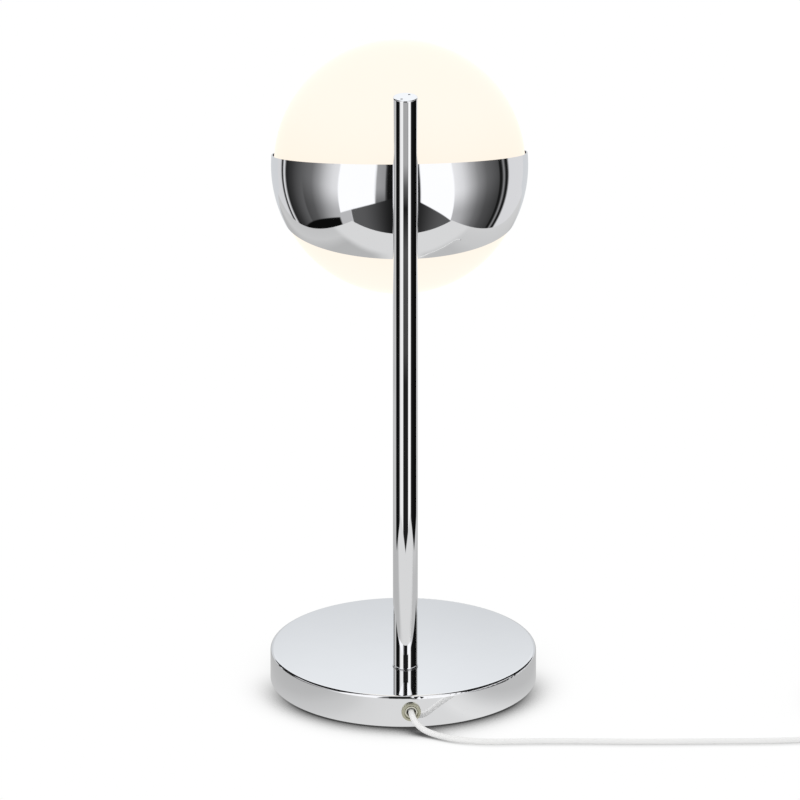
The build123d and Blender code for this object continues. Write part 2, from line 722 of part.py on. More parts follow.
def dome_pads():
    place = band_bore_r - REST_REACH + REST_PAD_L / 2
    one = Pos(place, 0, rest_top + REST_PAD_T / 2) * Box(REST_PAD_L, REST_PAD_W, REST_PAD_T)
    one = fillet(one.edges().filter_by(Axis.Z), REST_PAD_L / 5)
    return [rim_frame * (Rot(0, 0, angle) * one) for angle in rest_angles()]


# ---- lampholder ----


def holder_cap():
    neck_r, wall = HOLDER_NECK_D / 2, HOLDER_WALL
    throat = NIPPLE_IN_HOLDER + 1
    outline = [(0, 0), (neck_r, 0), (neck_r, throat / 2), (holder_r, throat + 1),
               (holder_r, HOLDER_CAP_L), (0, HOLDER_CAP_L)]
    hollow = [(0, throat), (neck_r - wall, throat), (holder_r - wall, throat + 1 + wall),
              (holder_r - wall, HOLDER_CAP_L + 1), (0, HOLDER_CAP_L + 1)]
    body = revolve(Plane.XZ * make_face(Polyline(*outline, close=True)), Axis.Z)
    body -= revolve(Plane.XZ * make_face(Polyline(*hollow, close=True)), Axis.Z)
    body -= Pos(0, 0, throat / 2) * Cylinder(tapped_r, throat + 1)
    return facing_y(body, 0, holder_y, globe_z)


def holder_body():
    body = Pos(0, 0, holder_body_l / 2) * Cylinder(holder_r, holder_body_l)
    body = fillet(body.edges().group_by(Axis.Z)[-1], HOLDER_WALL / 2)
    for x, y in ring_places(holder_r, HOLDER_RIB_COUNT, 0):
        body -= Pos(x, y, holder_body_l * 0.4) * Cylinder(HOLDER_RIB_D / 2, holder_body_l * 0.5)
    bore_l = holder_body_l - HOLDER_FLOOR_T
    body -= Pos(0, 0, HOLDER_FLOOR_T + bore_l / 2 + 0.5) * Cylinder(HOLDER_MOUTH_D / 2, bore_l + 1)
    for side in (-1, 1):
        slot = Pos(side * TERMINAL_SPACING / 2, 0, HOLDER_FLOOR_T / 2)
        body -= slot * Box(CORE_D + SLIP, CORE_D + SLIP, HOLDER_FLOOR_T + 1)
    return facing_y(body, 0, holder_body_y, globe_z)


def holder_shell():
    sleeve = Cylinder(shell_r, SHELL_L) - Cylinder(SHELL_BORE_D / 2, SHELL_L + 1)
    groove = Torus(shell_r + SHELL_WALL * 0.5, SHELL_WALL)
    for k in range(BULB_THREAD_COUNT):
        sleeve -= Pos(0, 0, (k - (BULB_THREAD_COUNT - 1) / 2) * BULB_THREAD_PITCH) * groove
    return facing_y(Pos(0, 0, SHELL_L / 2) * sleeve, 0, holder_seat_y + TONGUE_T + TONGUE_RISE,
                    globe_z)


def holder_contact():
    """The springy centre contact: a foot on the seat and a raised tongue."""
    half, rise = TERMINAL_SPACING / 2, TONGUE_RISE
    foot_l = half - TONGUE_W / 2
    foot = Pos(-half + foot_l / 2, 0, TONGUE_T / 2) * Box(foot_l, TONGUE_W / 2, TONGUE_T)
    riser = Pos(-TONGUE_W / 2, 0, (rise + TONGUE_T) / 2) * Box(TONGUE_T, TONGUE_W / 2, rise + TONGUE_T)
    tongue = Pos(0, 0, rise + TONGUE_T / 2) * Box(TONGUE_W + TONGUE_T, TONGUE_W / 2, TONGUE_T)
    return facing_y(foot + riser + tongue, 0, holder_seat_y, globe_z)


def holder_terminals():
    block = Box(TERMINAL_SIZE, TERMINAL_SIZE, TERMINAL_SIZE)
    head = Pos(0, TERMINAL_SIZE / 2 + 0.5, 0) * Rot(90, 0, 0) * Cylinder(TERMINAL_SIZE * 0.35, 1)
    slot = Pos(0, TERMINAL_SIZE / 2 + 0.9, 0) * Box(TERMINAL_SIZE, 0.8, HEAD_RECESS_W)
    one = Pos(0, 0, -TERMINAL_SIZE / 2) * (block + (head - slot))
    return [facing_y(Pos(side * TERMINAL_SPACING / 2, 0, 0) * one, 0, holder_body_y, globe_z)
            for side in (-1, 1)]


def lead_cores():
    """The two cores, spread from the end of the lead to the terminals."""
    start = HELD_ROUTE[-1][1]
    end = holder_body_y - TERMINAL_SIZE
    cores = []
    for side in (-1, 1):
        near, far = side * CORE_SPACING / 2, side * TERMINAL_SPACING / 2
        step = (end - start) / 4
        points = [(near, start, globe_z), (near, start + step, globe_z),
                  (far, end - step, globe_z), (far, end, globe_z)]
        path = FilletPolyline(*points, radius=CORE_D)
        cores.append(tube_on(path, CORE_D))
    return cores


# ---- bulb, built about Z from its tip and turned along +Y ----


def bulb_piece(solid):
    return facing_y(solid, 0, bulb_tip_y, globe_z)


def bulb_tip():
    button = Pos(0, 0, BULB_TIP_L / 2) * Cylinder(BULB_TIP_D / 2, BULB_TIP_L)
    return bulb_piece(fillet(button.edges().group_by(Axis.Z)[0], BULB_TIP_L * 0.6))


def bulb_insulator():
    low, high = BULB_TIP_L, BULB_TIP_L + BULB_INSULATOR_L
    cone = Pos(0, 0, (low + high) / 2) * Cone(BULB_TIP_D / 2, BULB_INSULATOR_D / 2, high - low)
    return bulb_piece(cone)


def bulb_cap():
    low, high = BULB_TIP_L + BULB_INSULATOR_L, BULB_CAP_L
    thread_l = BULB_THREAD_PITCH * BULB_THREAD_COUNT
    crest_r = BULB_CAP_D / 2
    shell = Pos(0, 0, low + 0.75) * Cone(BULB_INSULATOR_D / 2, crest_r, 1.5)
    shell += Pos(0, 0, (low + 1.5 + high) / 2) * Cylinder(crest_r, high - low - 1.5)
    groove = Torus(crest_r + BULB_THREAD_DEPTH, 2 * BULB_THREAD_DEPTH)
    for k in range(BULB_THREAD_COUNT):
        height = low + 2.5 + (k + 0.5) * thread_l / BULB_THREAD_COUNT
        shell -= Pos(0, 0, height) * groove
    return bulb_piece(shell)


def bulb_collar():
    neck_r, rim_r = BULB_NECK_D / 2, COLLAR_RIM_D / 2
    mid_r = neck_r + (rim_r - neck_r) * 0.62
    with BuildLine(Plane.XZ) as outline:
        side = Spline((neck_r, 0), (mid_r, collar_l * 0.5), (rim_r, collar_l))
        Polyline(side @ 1, (0, collar_l), (0, 0), side @ 0)
    body = revolve(make_face(outline.line), Axis.Z)
    return bulb_piece(Pos(0, 0, BULB_CAP_L) * body)


def bulb_globe():
    centre = BULB_L - BULB_D / 2
    ball = Pos(0, 0, centre) * hollow_ball(BULB_D / 2, BULB_WALL)
    edge = Plane.XY.offset(BULB_CAP_L + collar_l)
    return bulb_piece(split(ball, bisect_by=edge, keep=Keep.TOP))


# ---- switch on the cord ----


def switch_outline():
    return RectangleRounded(SWITCH_W, SWITCH_L, SWITCH_CORNER_R)


def switch_inside(height):
    wall = 2 * SWITCH_WALL
    return extrude(RectangleRounded(SWITCH_W - wall, SWITCH_L - wall,
                                    SWITCH_CORNER_R - SWITCH_WALL), height)


def switch_place(solid):
    return Pos(SWITCH_X, switch_y, 0) * solid


def switch_posts(low, high, radius):
    """The four screw posts, or their holes."""
    return [ring(radius, 0, low, high, sx * SWITCH_SCREW_X, sy * SWITCH_SCREW_Y)
            for sx in (-1, 1) for sy in (-1, 1)]


def cord_channel():
    return along_y(cord_r + FIT, -SWITCH_L, SWITCH_L, z=switch_cord_z)


def switch_lower():
    shell = extrude(switch_outline(), SWITCH_SPLIT)
    shell = fillet(edges_at_z(shell, 0), SWITCH_EDGE_R / 2)
    shell -= Pos(0, 0, SWITCH_WALL) * switch_inside(SWITCH_SPLIT)
    for post in switch_posts(SWITCH_WALL, SWITCH_SPLIT, SWITCH_POST_D / 2):
        shell += post
    for hole in switch_posts(-1, SWITCH_SPLIT + 1, SWITCH_SCREW_D / 2 + FIT):
        shell -= hole
    for well in switch_posts(-1, SWITCH_WALL / 2 + FIT, SWITCH_SCREW_D + FIT):
        shell -= well
    return switch_place(shell - cord_channel())


def switch_upper():
    height = SWITCH_H - SWITCH_SPLIT
    shell = Pos(0, 0, SWITCH_SPLIT) * extrude(switch_outline(), height)
    shell = fillet(edges_at_z(shell, SWITCH_H), SWITCH_EDGE_R)
    shell -= Pos(0, 0, SWITCH_SPLIT - SWITCH_WALL) * switch_inside(height)
    top = SWITCH_H - SWITCH_WALL
    for post in switch_posts(SWITCH_SPLIT, top, SWITCH_POST_D / 2):
        shell += post
    for side in (-1, 1):
        x = side * (ROCKER_W / 2 + SLIP + CHEEK_T / 2)
        shell += Pos(x, 0, (SWITCH_SPLIT + 1 + top) / 2) * Box(CHEEK_T, CHEEK_W, top - SWITCH_SPLIT - 1)
    opening = 2 * (ROCKER_R + SLIP)
    shell -= Pos(0, 0, SWITCH_H) * Box(ROCKER_W + 2 * SLIP, opening, 4 * SWITCH_WALL)
    bearing = Pos(0, 0, PIVOT_H) * Rot(0, 90, 0) * Cylinder(PIVOT_D / 2 + FIT, SWITCH_W / 2 + CHEEK_T)
    shell -= bearing
    for hole in switch_posts(SWITCH_SPLIT - 1, SWITCH_SPLIT + 6, SWITCH_SCREW_D / 2 + FIT):
        shell -= hole
    return switch_place(shell - cord_channel())


def switch_rocker():
    slope = math.tan(math.radians(ROCKER_TILT))
    wide = ROCKER_R + 1
    peak = ROCKER_CENTRE_H + wide * slope
    profile = [(-wide, -ROCKER_BELOW), (wide, -ROCKER_BELOW), (wide, peak), (0, ROCKER_CENTRE_H),
               (-wide, peak)]
    face = make_face(Polyline(*profile, close=True)) & Circle(ROCKER_R)
    rocker = extrude(Plane.YZ * face, ROCKER_W / 2, both=True)
    rocker += Rot(0, 90, 0) * Cylinder(PIVOT_D / 2, ROCKER_W + 2 * PIVOT_L)
    return switch_place(Pos(0, 0, PIVOT_H) * Rot(ROCKER_TILT, 0, 0) * rocker)


def switch_screws():
    one = Rot(180, 0, 0) * screw(SWITCH_SCREW_D, SWITCH_SPLIT + 3, 2 * SWITCH_SCREW_D, SWITCH_WALL / 2)
    return [switch_place(Pos(sx * SWITCH_SCREW_X, sy * SWITCH_SCREW_Y, SWITCH_WALL / 2 + FIT) * one)
            for sx in (-1, 1) for sy in (-1, 1)]


def switch_terminals():
    """Two terminal blocks and the bridge that the rocker closes."""
    pieces = []
    for side in (-1, 1):
        block = Pos(0, side * SWITCH_BLOCK_Y, SWITCH_WALL + SWITCH_BLOCK / 2) * Box(
            SWITCH_BLOCK, SWITCH_BLOCK, SWITCH_BLOCK)
        block += Pos(0, side * SWITCH_BLOCK_Y, SWITCH_WALL + SWITCH_BLOCK) * Cylinder(
            SWITCH_BLOCK * 0.36, SWITCH_WALL / 2)
        pieces.append(switch_place(block))
    bridge = Pos(0, 0, SWITCH_WALL + TONGUE_T / 2) * Box(
        SWITCH_BLOCK, 2 * (SWITCH_BLOCK_Y - SWITCH_BLOCK), TONGUE_T)
    pieces.append(switch_place(bridge))
    return pieces


# ---- coil, tie and plug ----


def cord_coil():
    path = coil_path()
    tube = tube_on(path, CORD_D)
    wanted = math.pi * cord_r**2 * path.length
    print(f"cord_coil: {path.length:.1f} mm long, least gap to itself {least_gap(path):.2f} mm, "
          f"volume {tube.volume / wanted:.4f} of section times length")
    return tube


def cord_tie():
    """A flat strap round all the turns at one side of the coil."""
    wide = coil_outer_r - COIL_INNER_R + CORD_D + 2 * TIE_GAP
    tall = coil_high_z - coil_low_z + CORD_D + 2 * TIE_GAP
    inner = RectangleRounded(wide, tall, TIE_CORNER_R)
    outer = RectangleRounded(wide + 2 * TIE_T, tall + 2 * TIE_T, TIE_CORNER_R + TIE_T)
    strap = extrude(Plane.YZ * (outer - inner), TIE_W / 2, both=True)
    middle_r = (coil_outer_r + COIL_INNER_R) / 2
    return Pos(coil_x, coil_y - middle_r, (coil_low_z + coil_high_z) / 2) * strap


def plug_section(width, thick, y):
    """The plug's flat six-sided section, with its corners rounded."""
    flat = width - thick
    outline = Polyline((-width / 2, 0), (-flat / 2, thick / 2), (flat / 2, thick / 2),
                       (width / 2, 0), (flat / 2, -thick / 2), (-flat / 2, -thick / 2), close=True)
    face = make_face(outline)
    face = fillet(face.vertices(), PLUG_EDGE_R)
    return Plane(origin=(PLUG_X, y, plug_z), x_dir=(-1, 0, 0), z_dir=(0, 1, 0)) * face


def plug_body():
    shoulder_y = plug_start_y + PLUG_SHOULDER_L
    neck = plug_section(PLUG_NECK_W, PLUG_NECK_T, plug_start_y)
    broad = plug_section(PLUG_W, PLUG_T, shoulder_y)
    body = loft([neck, broad], ruled=True)
    body += extrude(broad, PLUG_L - PLUG_SHOULDER_L)
    for side in (-1, 1):
        x = PLUG_X + side * PIN_SPACING / 2
        body -= along_y(PIN_CORE_D / 2 + FIT, plug_end_y - PIN_IN_BODY, plug_end_y, x, plug_z)
        body -= along_y(PIN_SLEEVE_D / 2 + FIT, plug_end_y - PIN_SLEEVE_IN_BODY, plug_end_y + 1,
                        x, plug_z)
    return body


def plug_pins():
    """Each pin is bare and full size at its tip, and thinner where its sleeve covers it."""
    pins = []
    for side in (-1, 1):
        x = PLUG_X + side * PIN_SPACING / 2
        tip = along_y(PIN_D / 2, plug_end_y + SLEEVED_L, plug_end_y + PIN_L, x, plug_z)
        tip = fillet(tip.edges().group_by(Axis.Y)[-1], PIN_D * 0.4)
        core = along_y(PIN_CORE_D / 2, plug_end_y - PIN_IN_BODY, plug_end_y + SLEEVED_L, x, plug_z)
        pins.append(tip + core)
    return pins


def pin_sleeves():
    sleeves = []
    for side in (-1, 1):
        x = PLUG_X + side * PIN_SPACING / 2
        low, high = plug_end_y - PIN_SLEEVE_IN_BODY, plug_end_y + SLEEVED_L
        sleeve = along_y(PIN_SLEEVE_D / 2, low, high, x, plug_z)
        sleeves.append(sleeve - along_y(PIN_CORE_D / 2 + FIT, low - 1, high + 1, x, plug_z))
    return sleeves


def plug_relief():
    """A tapered boot with slots that let it bend, and a bore for the cord."""
    taper = Pos(0, 0, RELIEF_L / 2) * Cone(RELIEF_TIP_D / 2, RELIEF_ROOT_D / 2, RELIEF_L)
    step = RELIEF_L / (RELIEF_SLOTS + 1)
    for k in range(RELIEF_SLOTS):
        height = (k + 0.8) * step
        angle = 90 * (k % 2)
        for side in (-1, 1):
            slot = Pos(side * RELIEF_ROOT_D * 0.62, 0, height) * Box(
                RELIEF_ROOT_D / 2, RELIEF_ROOT_D, step / 3)
            taper -= Rot(0, 0, angle) * slot
    taper -= Pos(0, 0, RELIEF_BORE_L / 2) * Cylinder(cord_r + FIT, RELIEF_BORE_L)
    return facing_y(taper, PLUG_X, relief_tip_y, plug_z)


def held_lead():
    """The lead that the lamp holds all the way to the lampholder."""
    radii = arc_radii(HELD_ROUTE)
    radii[-1] = COLUMN_D * 0.3  # turned short inside the insert
    path = FilletPolyline(*HELD_ROUTE, radius=radii)
    print(f"held_lead: {path.length:.1f} mm long, radii {[round(r, 1) for r in radii]}")
    return tube_on(path, CORD_D)


def build():
    return {
        "base_cover": base_cover(),
        "base_weight": base_weight(),
        "base_plate": base_plate(),
        "plate_screws": plate_screws(),
        "foot_pad": foot_pad(),
        "cord_gland": cord_gland(),
        "gland_sleeve": gland_sleeve(),
        "gland_nut": gland_nut(),
        "cord_clamp": cord_clamp(),
        "clamp_screws": clamp_screws(),
        "held_lead": held_lead(),
        "column_foot": column_foot(),
        "foot_stud": foot_stud(),
        "foot_washer": foot_washer(),
        "foot_nut": foot_nut(),
        "column_tube": column_tube(),
        "column_cap": column_cap(),
        "nipple_insert": nipple_insert(),
        "arm_nipple": arm_nipple(),
        "arm_saddle": arm_saddle(),
        "arm_washer": arm_washer(),
        "arm_nut": arm_nut(),
        "chrome_band": chrome_band(),
        "glass_dome": glass_dome(),
        "glass_bowl": glass_bowl(),
        "dome_rests": dome_rests(),
        "dome_pads": dome_pads(),
        "holder_cap": holder_cap(),
        "holder_body": holder_body(),
        "holder_shell": holder_shell(),
        "holder_contact": holder_contact(),
        "holder_terminals": holder_terminals(),
        "lead_cores": lead_cores(),
        "bulb_tip": bulb_tip(),
        "bulb_insulator": bulb_insulator(),
        "bulb_cap": bulb_cap(),
        "bulb_collar": bulb_collar(),
        "bulb_globe": bulb_globe(),
        "switch_lower": switch_lower(),
        "switch_upper": switch_upper(),
        "switch_rocker": switch_rocker(),
        "switch_screws": switch_screws(),
        "switch_terminals": switch_terminals(),
        "cord_lead": free_cord("cord_lead", LEAD_ROUTE),
        "cord_tail": free_cord("cord_tail", TAIL_ROUTE),
        "cord_end": free_cord("cord_end", END_ROUTE),
        "cord_coil": cord_coil(),
        "cord_tie": cord_tie(),
        "plug_body": plug_body(),
        "plug_pins": plug_pins(),
        "pin_sleeves": pin_sleeves(),
        "plug_relief": plug_relief(),
    }


def save(parts):
    os.makedirs("parts", exist_ok=True)
    for name, piece in parts.items():
        solids = piece if isinstance(piece, list) else [piece]
        shape = Compound(children=[s for one in solids for s in one.solids()])
        export_step(shape if len(shape.solids()) > 1 else shape.solids()[0], f"parts/{name}.step")


save(build())
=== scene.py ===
"""Finishes, studio and cords of the glass globe table lamp.

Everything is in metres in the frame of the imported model: +Z up, the origin at the centre of the
base's resting face, the column and the cord on the -Y side.
"""
from __future__ import annotations

import logging
import math
from dataclasses import dataclass
from enum import Enum
from typing import Iterable, Sequence

import bmesh
import bpy
from mathutils import Matrix, Vector

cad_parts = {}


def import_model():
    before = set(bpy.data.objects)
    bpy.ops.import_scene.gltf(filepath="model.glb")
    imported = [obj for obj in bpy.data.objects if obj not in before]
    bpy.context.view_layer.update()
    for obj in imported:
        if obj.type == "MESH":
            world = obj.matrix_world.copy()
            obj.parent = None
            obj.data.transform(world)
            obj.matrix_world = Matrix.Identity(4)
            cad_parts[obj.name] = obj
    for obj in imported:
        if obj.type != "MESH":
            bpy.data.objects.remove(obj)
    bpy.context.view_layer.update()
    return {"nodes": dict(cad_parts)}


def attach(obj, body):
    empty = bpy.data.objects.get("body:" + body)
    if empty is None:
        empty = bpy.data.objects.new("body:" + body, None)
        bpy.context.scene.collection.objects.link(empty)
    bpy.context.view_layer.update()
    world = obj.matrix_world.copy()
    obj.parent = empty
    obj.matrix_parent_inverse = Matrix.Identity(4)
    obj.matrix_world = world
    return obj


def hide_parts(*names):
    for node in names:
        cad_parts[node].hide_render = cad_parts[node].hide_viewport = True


LOG = logging.getLogger("lamp")

MM = 0.001
IMAGE_PIXELS = 800
Point = tuple[float, float, float]
Colour = tuple[float, float, float]
Span = tuple[float, float]
GreyStops = tuple[tuple[float, float], ...]
Nodes = dict[str, bpy.types.Object]

# Places that several sub-assemblies share, in millimetres.
GLOBE_CENTRE = (0.0, 54.8, 310.7)
COLUMN_Y = -31.0
GLAND_X, GLAND_Z = 1.5, 10.8
PLUG_X, PLUG_Z = 273.0, 6.9


class Body(Enum):
    """The moving bodies of the lamp."""

    STAND = "stand"
    DOME = "dome"
    BULB = "bulb"
    ROCKER = "rocker"


# ---------------------------------------------------------------- shader maths


class Value:
    """A number or colour socket that can be used in Python expressions."""

    def __init__(self, book: "NodeBook", socket: bpy.types.NodeSocket) -> None:
        """Keeps the socket and the node tree that it belongs to."""
        self.book = book
        self.socket = socket

    def _maths(self, operation: str, *terms: "Value | float") -> "Value":
        """Adds one Math node for an operation on these terms."""
        inputs = {k: term for k, term in enumerate(terms)}
        return self.book.add("ShaderNodeMath", {"operation": operation}, inputs)

    def __add__(self, other: "Value | float") -> "Value":
        """Sum."""
        return self._maths("ADD", self, other)

    def __radd__(self, other: "Value | float") -> "Value":
        """Sum with a number on the left."""
        return self._maths("ADD", other, self)

    def __sub__(self, other: "Value | float") -> "Value":
        """Difference."""
        return self._maths("SUBTRACT", self, other)

    def __rsub__(self, other: "Value | float") -> "Value":
        """Difference from a number on the left."""
        return self._maths("SUBTRACT", other, self)

    def __mul__(self, other: "Value | float") -> "Value":
        """Product."""
        return self._maths("MULTIPLY", self, other)

    def __rmul__(self, other: "Value | float") -> "Value":
        """Product with a number on the left."""
        return self._maths("MULTIPLY", other, self)

    def __truediv__(self, other: "Value | float") -> "Value":
        """Quotient."""
        return self._maths("DIVIDE", self, other)

    def power(self, exponent: float) -> "Value":
        """This value raised to a power."""
        return self._maths("POWER", self, exponent)

    def magnitude(self) -> "Value":
        """The value without its sign."""
        return self._maths("ABSOLUTE", self)

    def lowest(self, other: "Value | float") -> "Value":
        """The smaller of two values."""
        return self._maths("MINIMUM", self, other)

    def highest(self, other: "Value | float") -> "Value":
        """The larger of two values."""
        return self._maths("MAXIMUM", self, other)

    def above(self, low: float, high: float) -> "Value":
        """A smooth step, 0 below low and 1 above high."""
        return self.book.add("ShaderNodeMapRange", {"interpolation_type": "SMOOTHSTEP"},
                             {"Value": self, "From Min": low, "From Max": high})

    def past(self, edge: float, blur: float) -> "Value":
        """A smooth step over an edge, a blur wide to each side."""
        return self.above(edge - blur, edge + blur)

    def between(self, rise: Span, fall: Span) -> "Value":
        """1 from the end of the rise to the start of the fall, and 0 outside both."""
        return self.above(*rise) * (1 - self.above(*fall))

    def towards(self, target: "Value | float", share: "Value") -> "Value":
        """This value moved to another by a share."""
        return self * (1 - share) + target * share


class NodeBook:
    """One node tree, written through a single method."""

    def __init__(self, tree: bpy.types.NodeTree) -> None:
        """Empties the tree and keeps it."""
        self.tree = tree
        tree.nodes.clear()

    def node(self, kind: str, settings: dict | None = None,
             inputs: dict | None = None) -> bpy.types.Node:
        """Adds a node.

        Args:
            kind: the node's type name.
            settings: properties that are set before the sockets; "stops" are a ramp's.
            inputs: a value, a Value or a socket for each input, by name or index.

        Returns:
            The node.
        """
        made = self.tree.nodes.new(kind)
        for name, value in (settings or {}).items():
            if name == "stops":
                self._stops(made.color_ramp, value)
            else:
                setattr(made, name, value)
        for name, value in (inputs or {}).items():
            socket = made.inputs[name]
            if isinstance(value, Value):
                self.tree.links.new(value.socket, socket)
            elif isinstance(value, bpy.types.NodeSocket):
                self.tree.links.new(value, socket)
            elif socket.type == "RGBA" and len(value) == 3:
                socket.default_value = (*value, 1.0)
            else:
                socket.default_value = value
        return made

    def add(self, kind: str, settings: dict | None = None, inputs: dict | None = None,
            output: int | str = 0) -> Value:
        """Adds a node and returns one of its outputs as a Value."""
        return Value(self, self.node(kind, settings, inputs).outputs[output])

    @staticmethod
    def _stops(ramp: bpy.types.ColorRamp, stops: Sequence[tuple[float, Colour]]) -> None:
        """Sets a ramp's stops, in rising order."""
        while len(ramp.elements) > 1:
            ramp.elements.remove(ramp.elements[-1])
        for k, (place, colour) in enumerate(stops):
            stop = ramp.elements[0] if k == 0 else ramp.elements.new(place)
            stop.position = place
            stop.color = (*colour, 1.0)

    def place(self, centre: Point = (0.0, 0.0, 0.0), scale: Point = (1.0, 1.0, 1.0)) -> Value:
        """Object coordinates, in metres, centred and scaled for a pattern."""
        here = self.node("ShaderNodeTexCoord").outputs["Object"]
        offset = tuple(-c * s for c, s in zip(centre, scale))
        return self.add("ShaderNodeMapping", {},
                        {"Vector": here, "Location": offset, "Scale": scale})

    def split(self, where: Value | bpy.types.NodeSocket) -> tuple[Value, Value, Value]:
        """The X, Y and Z of a place."""
        parts = self.node("ShaderNodeSeparateXYZ", {}, {"Vector": where}).outputs
        return tuple(Value(self, part) for part in parts)

    def bearing(self, x: Value, y: Value) -> Value:
        """The angle from the -Y side towards +X, in degrees."""
        turn = self.add("ShaderNodeMath", {"operation": "ARCTAN2"}, {0: x, 1: 0 - y})
        return turn * math.degrees(1.0)

    def noise(self, where: Value, size: float, detail: float = 3.0,
              roughness: float = 0.55) -> Value:
        """Noise with features of one size, in metres."""
        return self.add("ShaderNodeTexNoise", {},
                        {"Vector": where, "Scale": 1 / size, "Detail": detail,
                         "Roughness": roughness})

    def blend(self, share: Value | float, first: Value | Colour,
              second: Value | Colour) -> Value:
        """Mixes two colours by a share."""
        return self.add("ShaderNodeMix", {"data_type": "RGBA"},
                        {"Factor": share, 6: first, 7: second}, 2)

    def bump(self, height: Value, depth: float, strength: float) -> Value:
        """A bump from a height between 0 and 1, of a depth in metres."""
        return self.add("ShaderNodeBump", {},
                        {"Height": height, "Distance": depth, "Strength": strength})

    def grey_ramp(self, where: Value, reach: Span, greys: GreyStops) -> Value:
        """A grey colour that changes along a value.

        Args:
            where: the value.
            reach: its lowest and highest, where the ramp starts and ends.
            greys: a grey for some of its values, in rising order.

        Returns:
            The colour.
        """
        low, high = reach
        stops = [((place - low) / (high - low), (grey, grey, grey)) for place, grey in greys]
        return self.add("ShaderNodeValToRGB", {"stops": stops},
                        {"Fac": (where - low) / (high - low)})

    def channel(self, colour: Value) -> Value:
        """The first channel of a colour, as a number."""
        return self.add("ShaderNodeSeparateColor", {}, {0: colour})

    def tinted(self, grey: Value, tint: Colour = (1.0, 1.0, 1.0)) -> Value:
        """A grey number as a colour with a tint."""
        parts = {k: grey if share == 1.0 else grey * share for k, share in enumerate(tint)}
        return self.add("ShaderNodeCombineColor", {}, parts)

    def shine(self, colour: Value) -> bpy.types.NodeSocket:
        """A surface that shows a colour as it is."""
        return self.node("ShaderNodeEmission", {}, {"Color": colour}).outputs[0]

    def mixed(self, share: Value | bpy.types.NodeSocket, first: bpy.types.NodeSocket,
              second: bpy.types.NodeSocket) -> bpy.types.NodeSocket:
        """Mixes two shaders by a share."""
        return self.node("ShaderNodeMixShader", {}, {0: share, 1: first, 2: second}).outputs[0]

    def seen_directly(self) -> Value:
        """1 for what the eye sees directly or through glass."""
        path = self.node("ShaderNodeLightPath").outputs
        return Value(self, path["Is Camera Ray"]).highest(Value(self, path["Is Transmission Ray"]))

    def seen_in_gloss(self) -> bpy.types.NodeSocket:
        """1 for what a glossy surface reflects."""
        return self.node("ShaderNodeLightPath").outputs["Is Glossy Ray"]


@dataclass(frozen=True)
class Finish:
    """What every finish of the lamp has: a base colour and a roughness."""

    name: str
    colour: Colour
    roughness: float

    def _start(self) -> tuple[bpy.types.Material, NodeBook]:
        """An empty material and its node tree."""
        material = bpy.data.materials.new(self.name)
        material.use_nodes = True
        return material, NodeBook(material.node_tree)

    def _end(self, book: NodeBook, inputs: dict) -> None:
        """Puts the surface shader and the output at the end of the tree."""
        surface = book.node("ShaderNodeBsdfPrincipled", {}, inputs)
        book.node("ShaderNodeOutputMaterial", {}, {"Surface": surface.outputs[0]})

    def varied(self, book: NodeBook, share: Value, spread: float) -> Value:
        """The base colour, darker and lighter by a share of its value."""
        low = tuple(c * (1 - spread) for c in self.colour)
        high = tuple(min(c * (1 + spread), 1.0) for c in self.colour)
        return book.blend(share, low, high)


@dataclass(frozen=True)
class PolishedChrome(Finish):
    """Bright plating with the faintest haze and wiping marks."""

    haze: float = 0.02
    haze_size: float = 0.018
    wipe_size: float = 0.00225
    wipe_stretch: Point = (1.0, 1.0, 0.2)
    haze_share: float = 0.7
    marked: Span = (0.45, 0.8)
    spread: float = 0.012

    def material(self) -> bpy.types.Material:
        """Makes the plating."""
        material, book = self._start()
        haze = book.noise(book.place(), self.haze_size, 4.0)
        wipes = book.noise(book.place(scale=self.wipe_stretch), self.wipe_size, 2.0)
        marks = haze * self.haze_share + wipes * (1 - self.haze_share)
        marks = marks.above(*self.marked)
        self._end(book, {
            "Base Color": self.varied(book, haze, self.spread),
            "Roughness": marks * self.haze + self.roughness,
            "Metallic": 1.0})
        return material


@dataclass(frozen=True)
class OpalGlass(Finish):
    """White opal glass, lit from inside and warmer where it nears the band."""

    centre: Point = (0.0, 0.0, 0.0)
    radius: float = 0.075
    glow: Colour = (1.0, 0.935, 0.83)
    glow_warm: Colour = (1.0, 0.895, 0.77)
    strength: float = 0.975
    sheen: float = 0.015
    warm_until: Span = (0.05, 0.75)  # shares of the radius above or below the middle
    cloud_size: float = 0.03
    cloud_share: float = 0.1
    spread: float = 0.01
    haze: float = 0.04

    def material(self) -> bpy.types.Material:
        """Makes the glass."""
        material, book = self._start()
        where = book.place(self.centre)
        height = book.split(where)[2]
        warmth = 1 - (height.magnitude() / self.radius).above(*self.warm_until)
        cloud = book.noise(where, self.cloud_size, 2.0)
        share = warmth * (1 - self.cloud_share) + cloud * self.cloud_share
        self._end(book, {
            "Base Color": self.varied(book, cloud, self.spread),
            "Roughness": cloud * self.haze + self.roughness,
            "Emission Color": book.blend(share, self.glow, self.glow_warm),
            "Emission Strength": self.strength,
            "Specular IOR Level": self.sheen})
        return material


@dataclass(frozen=True)
class Moulded(Finish):
    """A moulded plastic or rubber with a fine grain."""

    grain: float = 0.0006
    depth: float = 0.00002
    strength: float = 0.4
    clouds_to_grain: float = 30.0
    spread: float = 0.03
    haze: float = 0.1
    glow: float = 0.0

    def material(self) -> bpy.types.Material:
        """Makes the moulding."""
        material, book = self._start()
        where = book.place()
        grain = book.noise(where, self.grain, 4.0)
        cloud = book.noise(where, self.grain * self.clouds_to_grain, 2.0)
        self._end(book, {
            "Base Color": self.varied(book, cloud, self.spread),
            "Roughness": grain * self.haze + (self.roughness - self.haze / 2),
            "Emission Color": self.colour,
            "Emission Strength": self.glow,
            "Normal": book.bump(grain, self.depth, self.strength)})
        return material


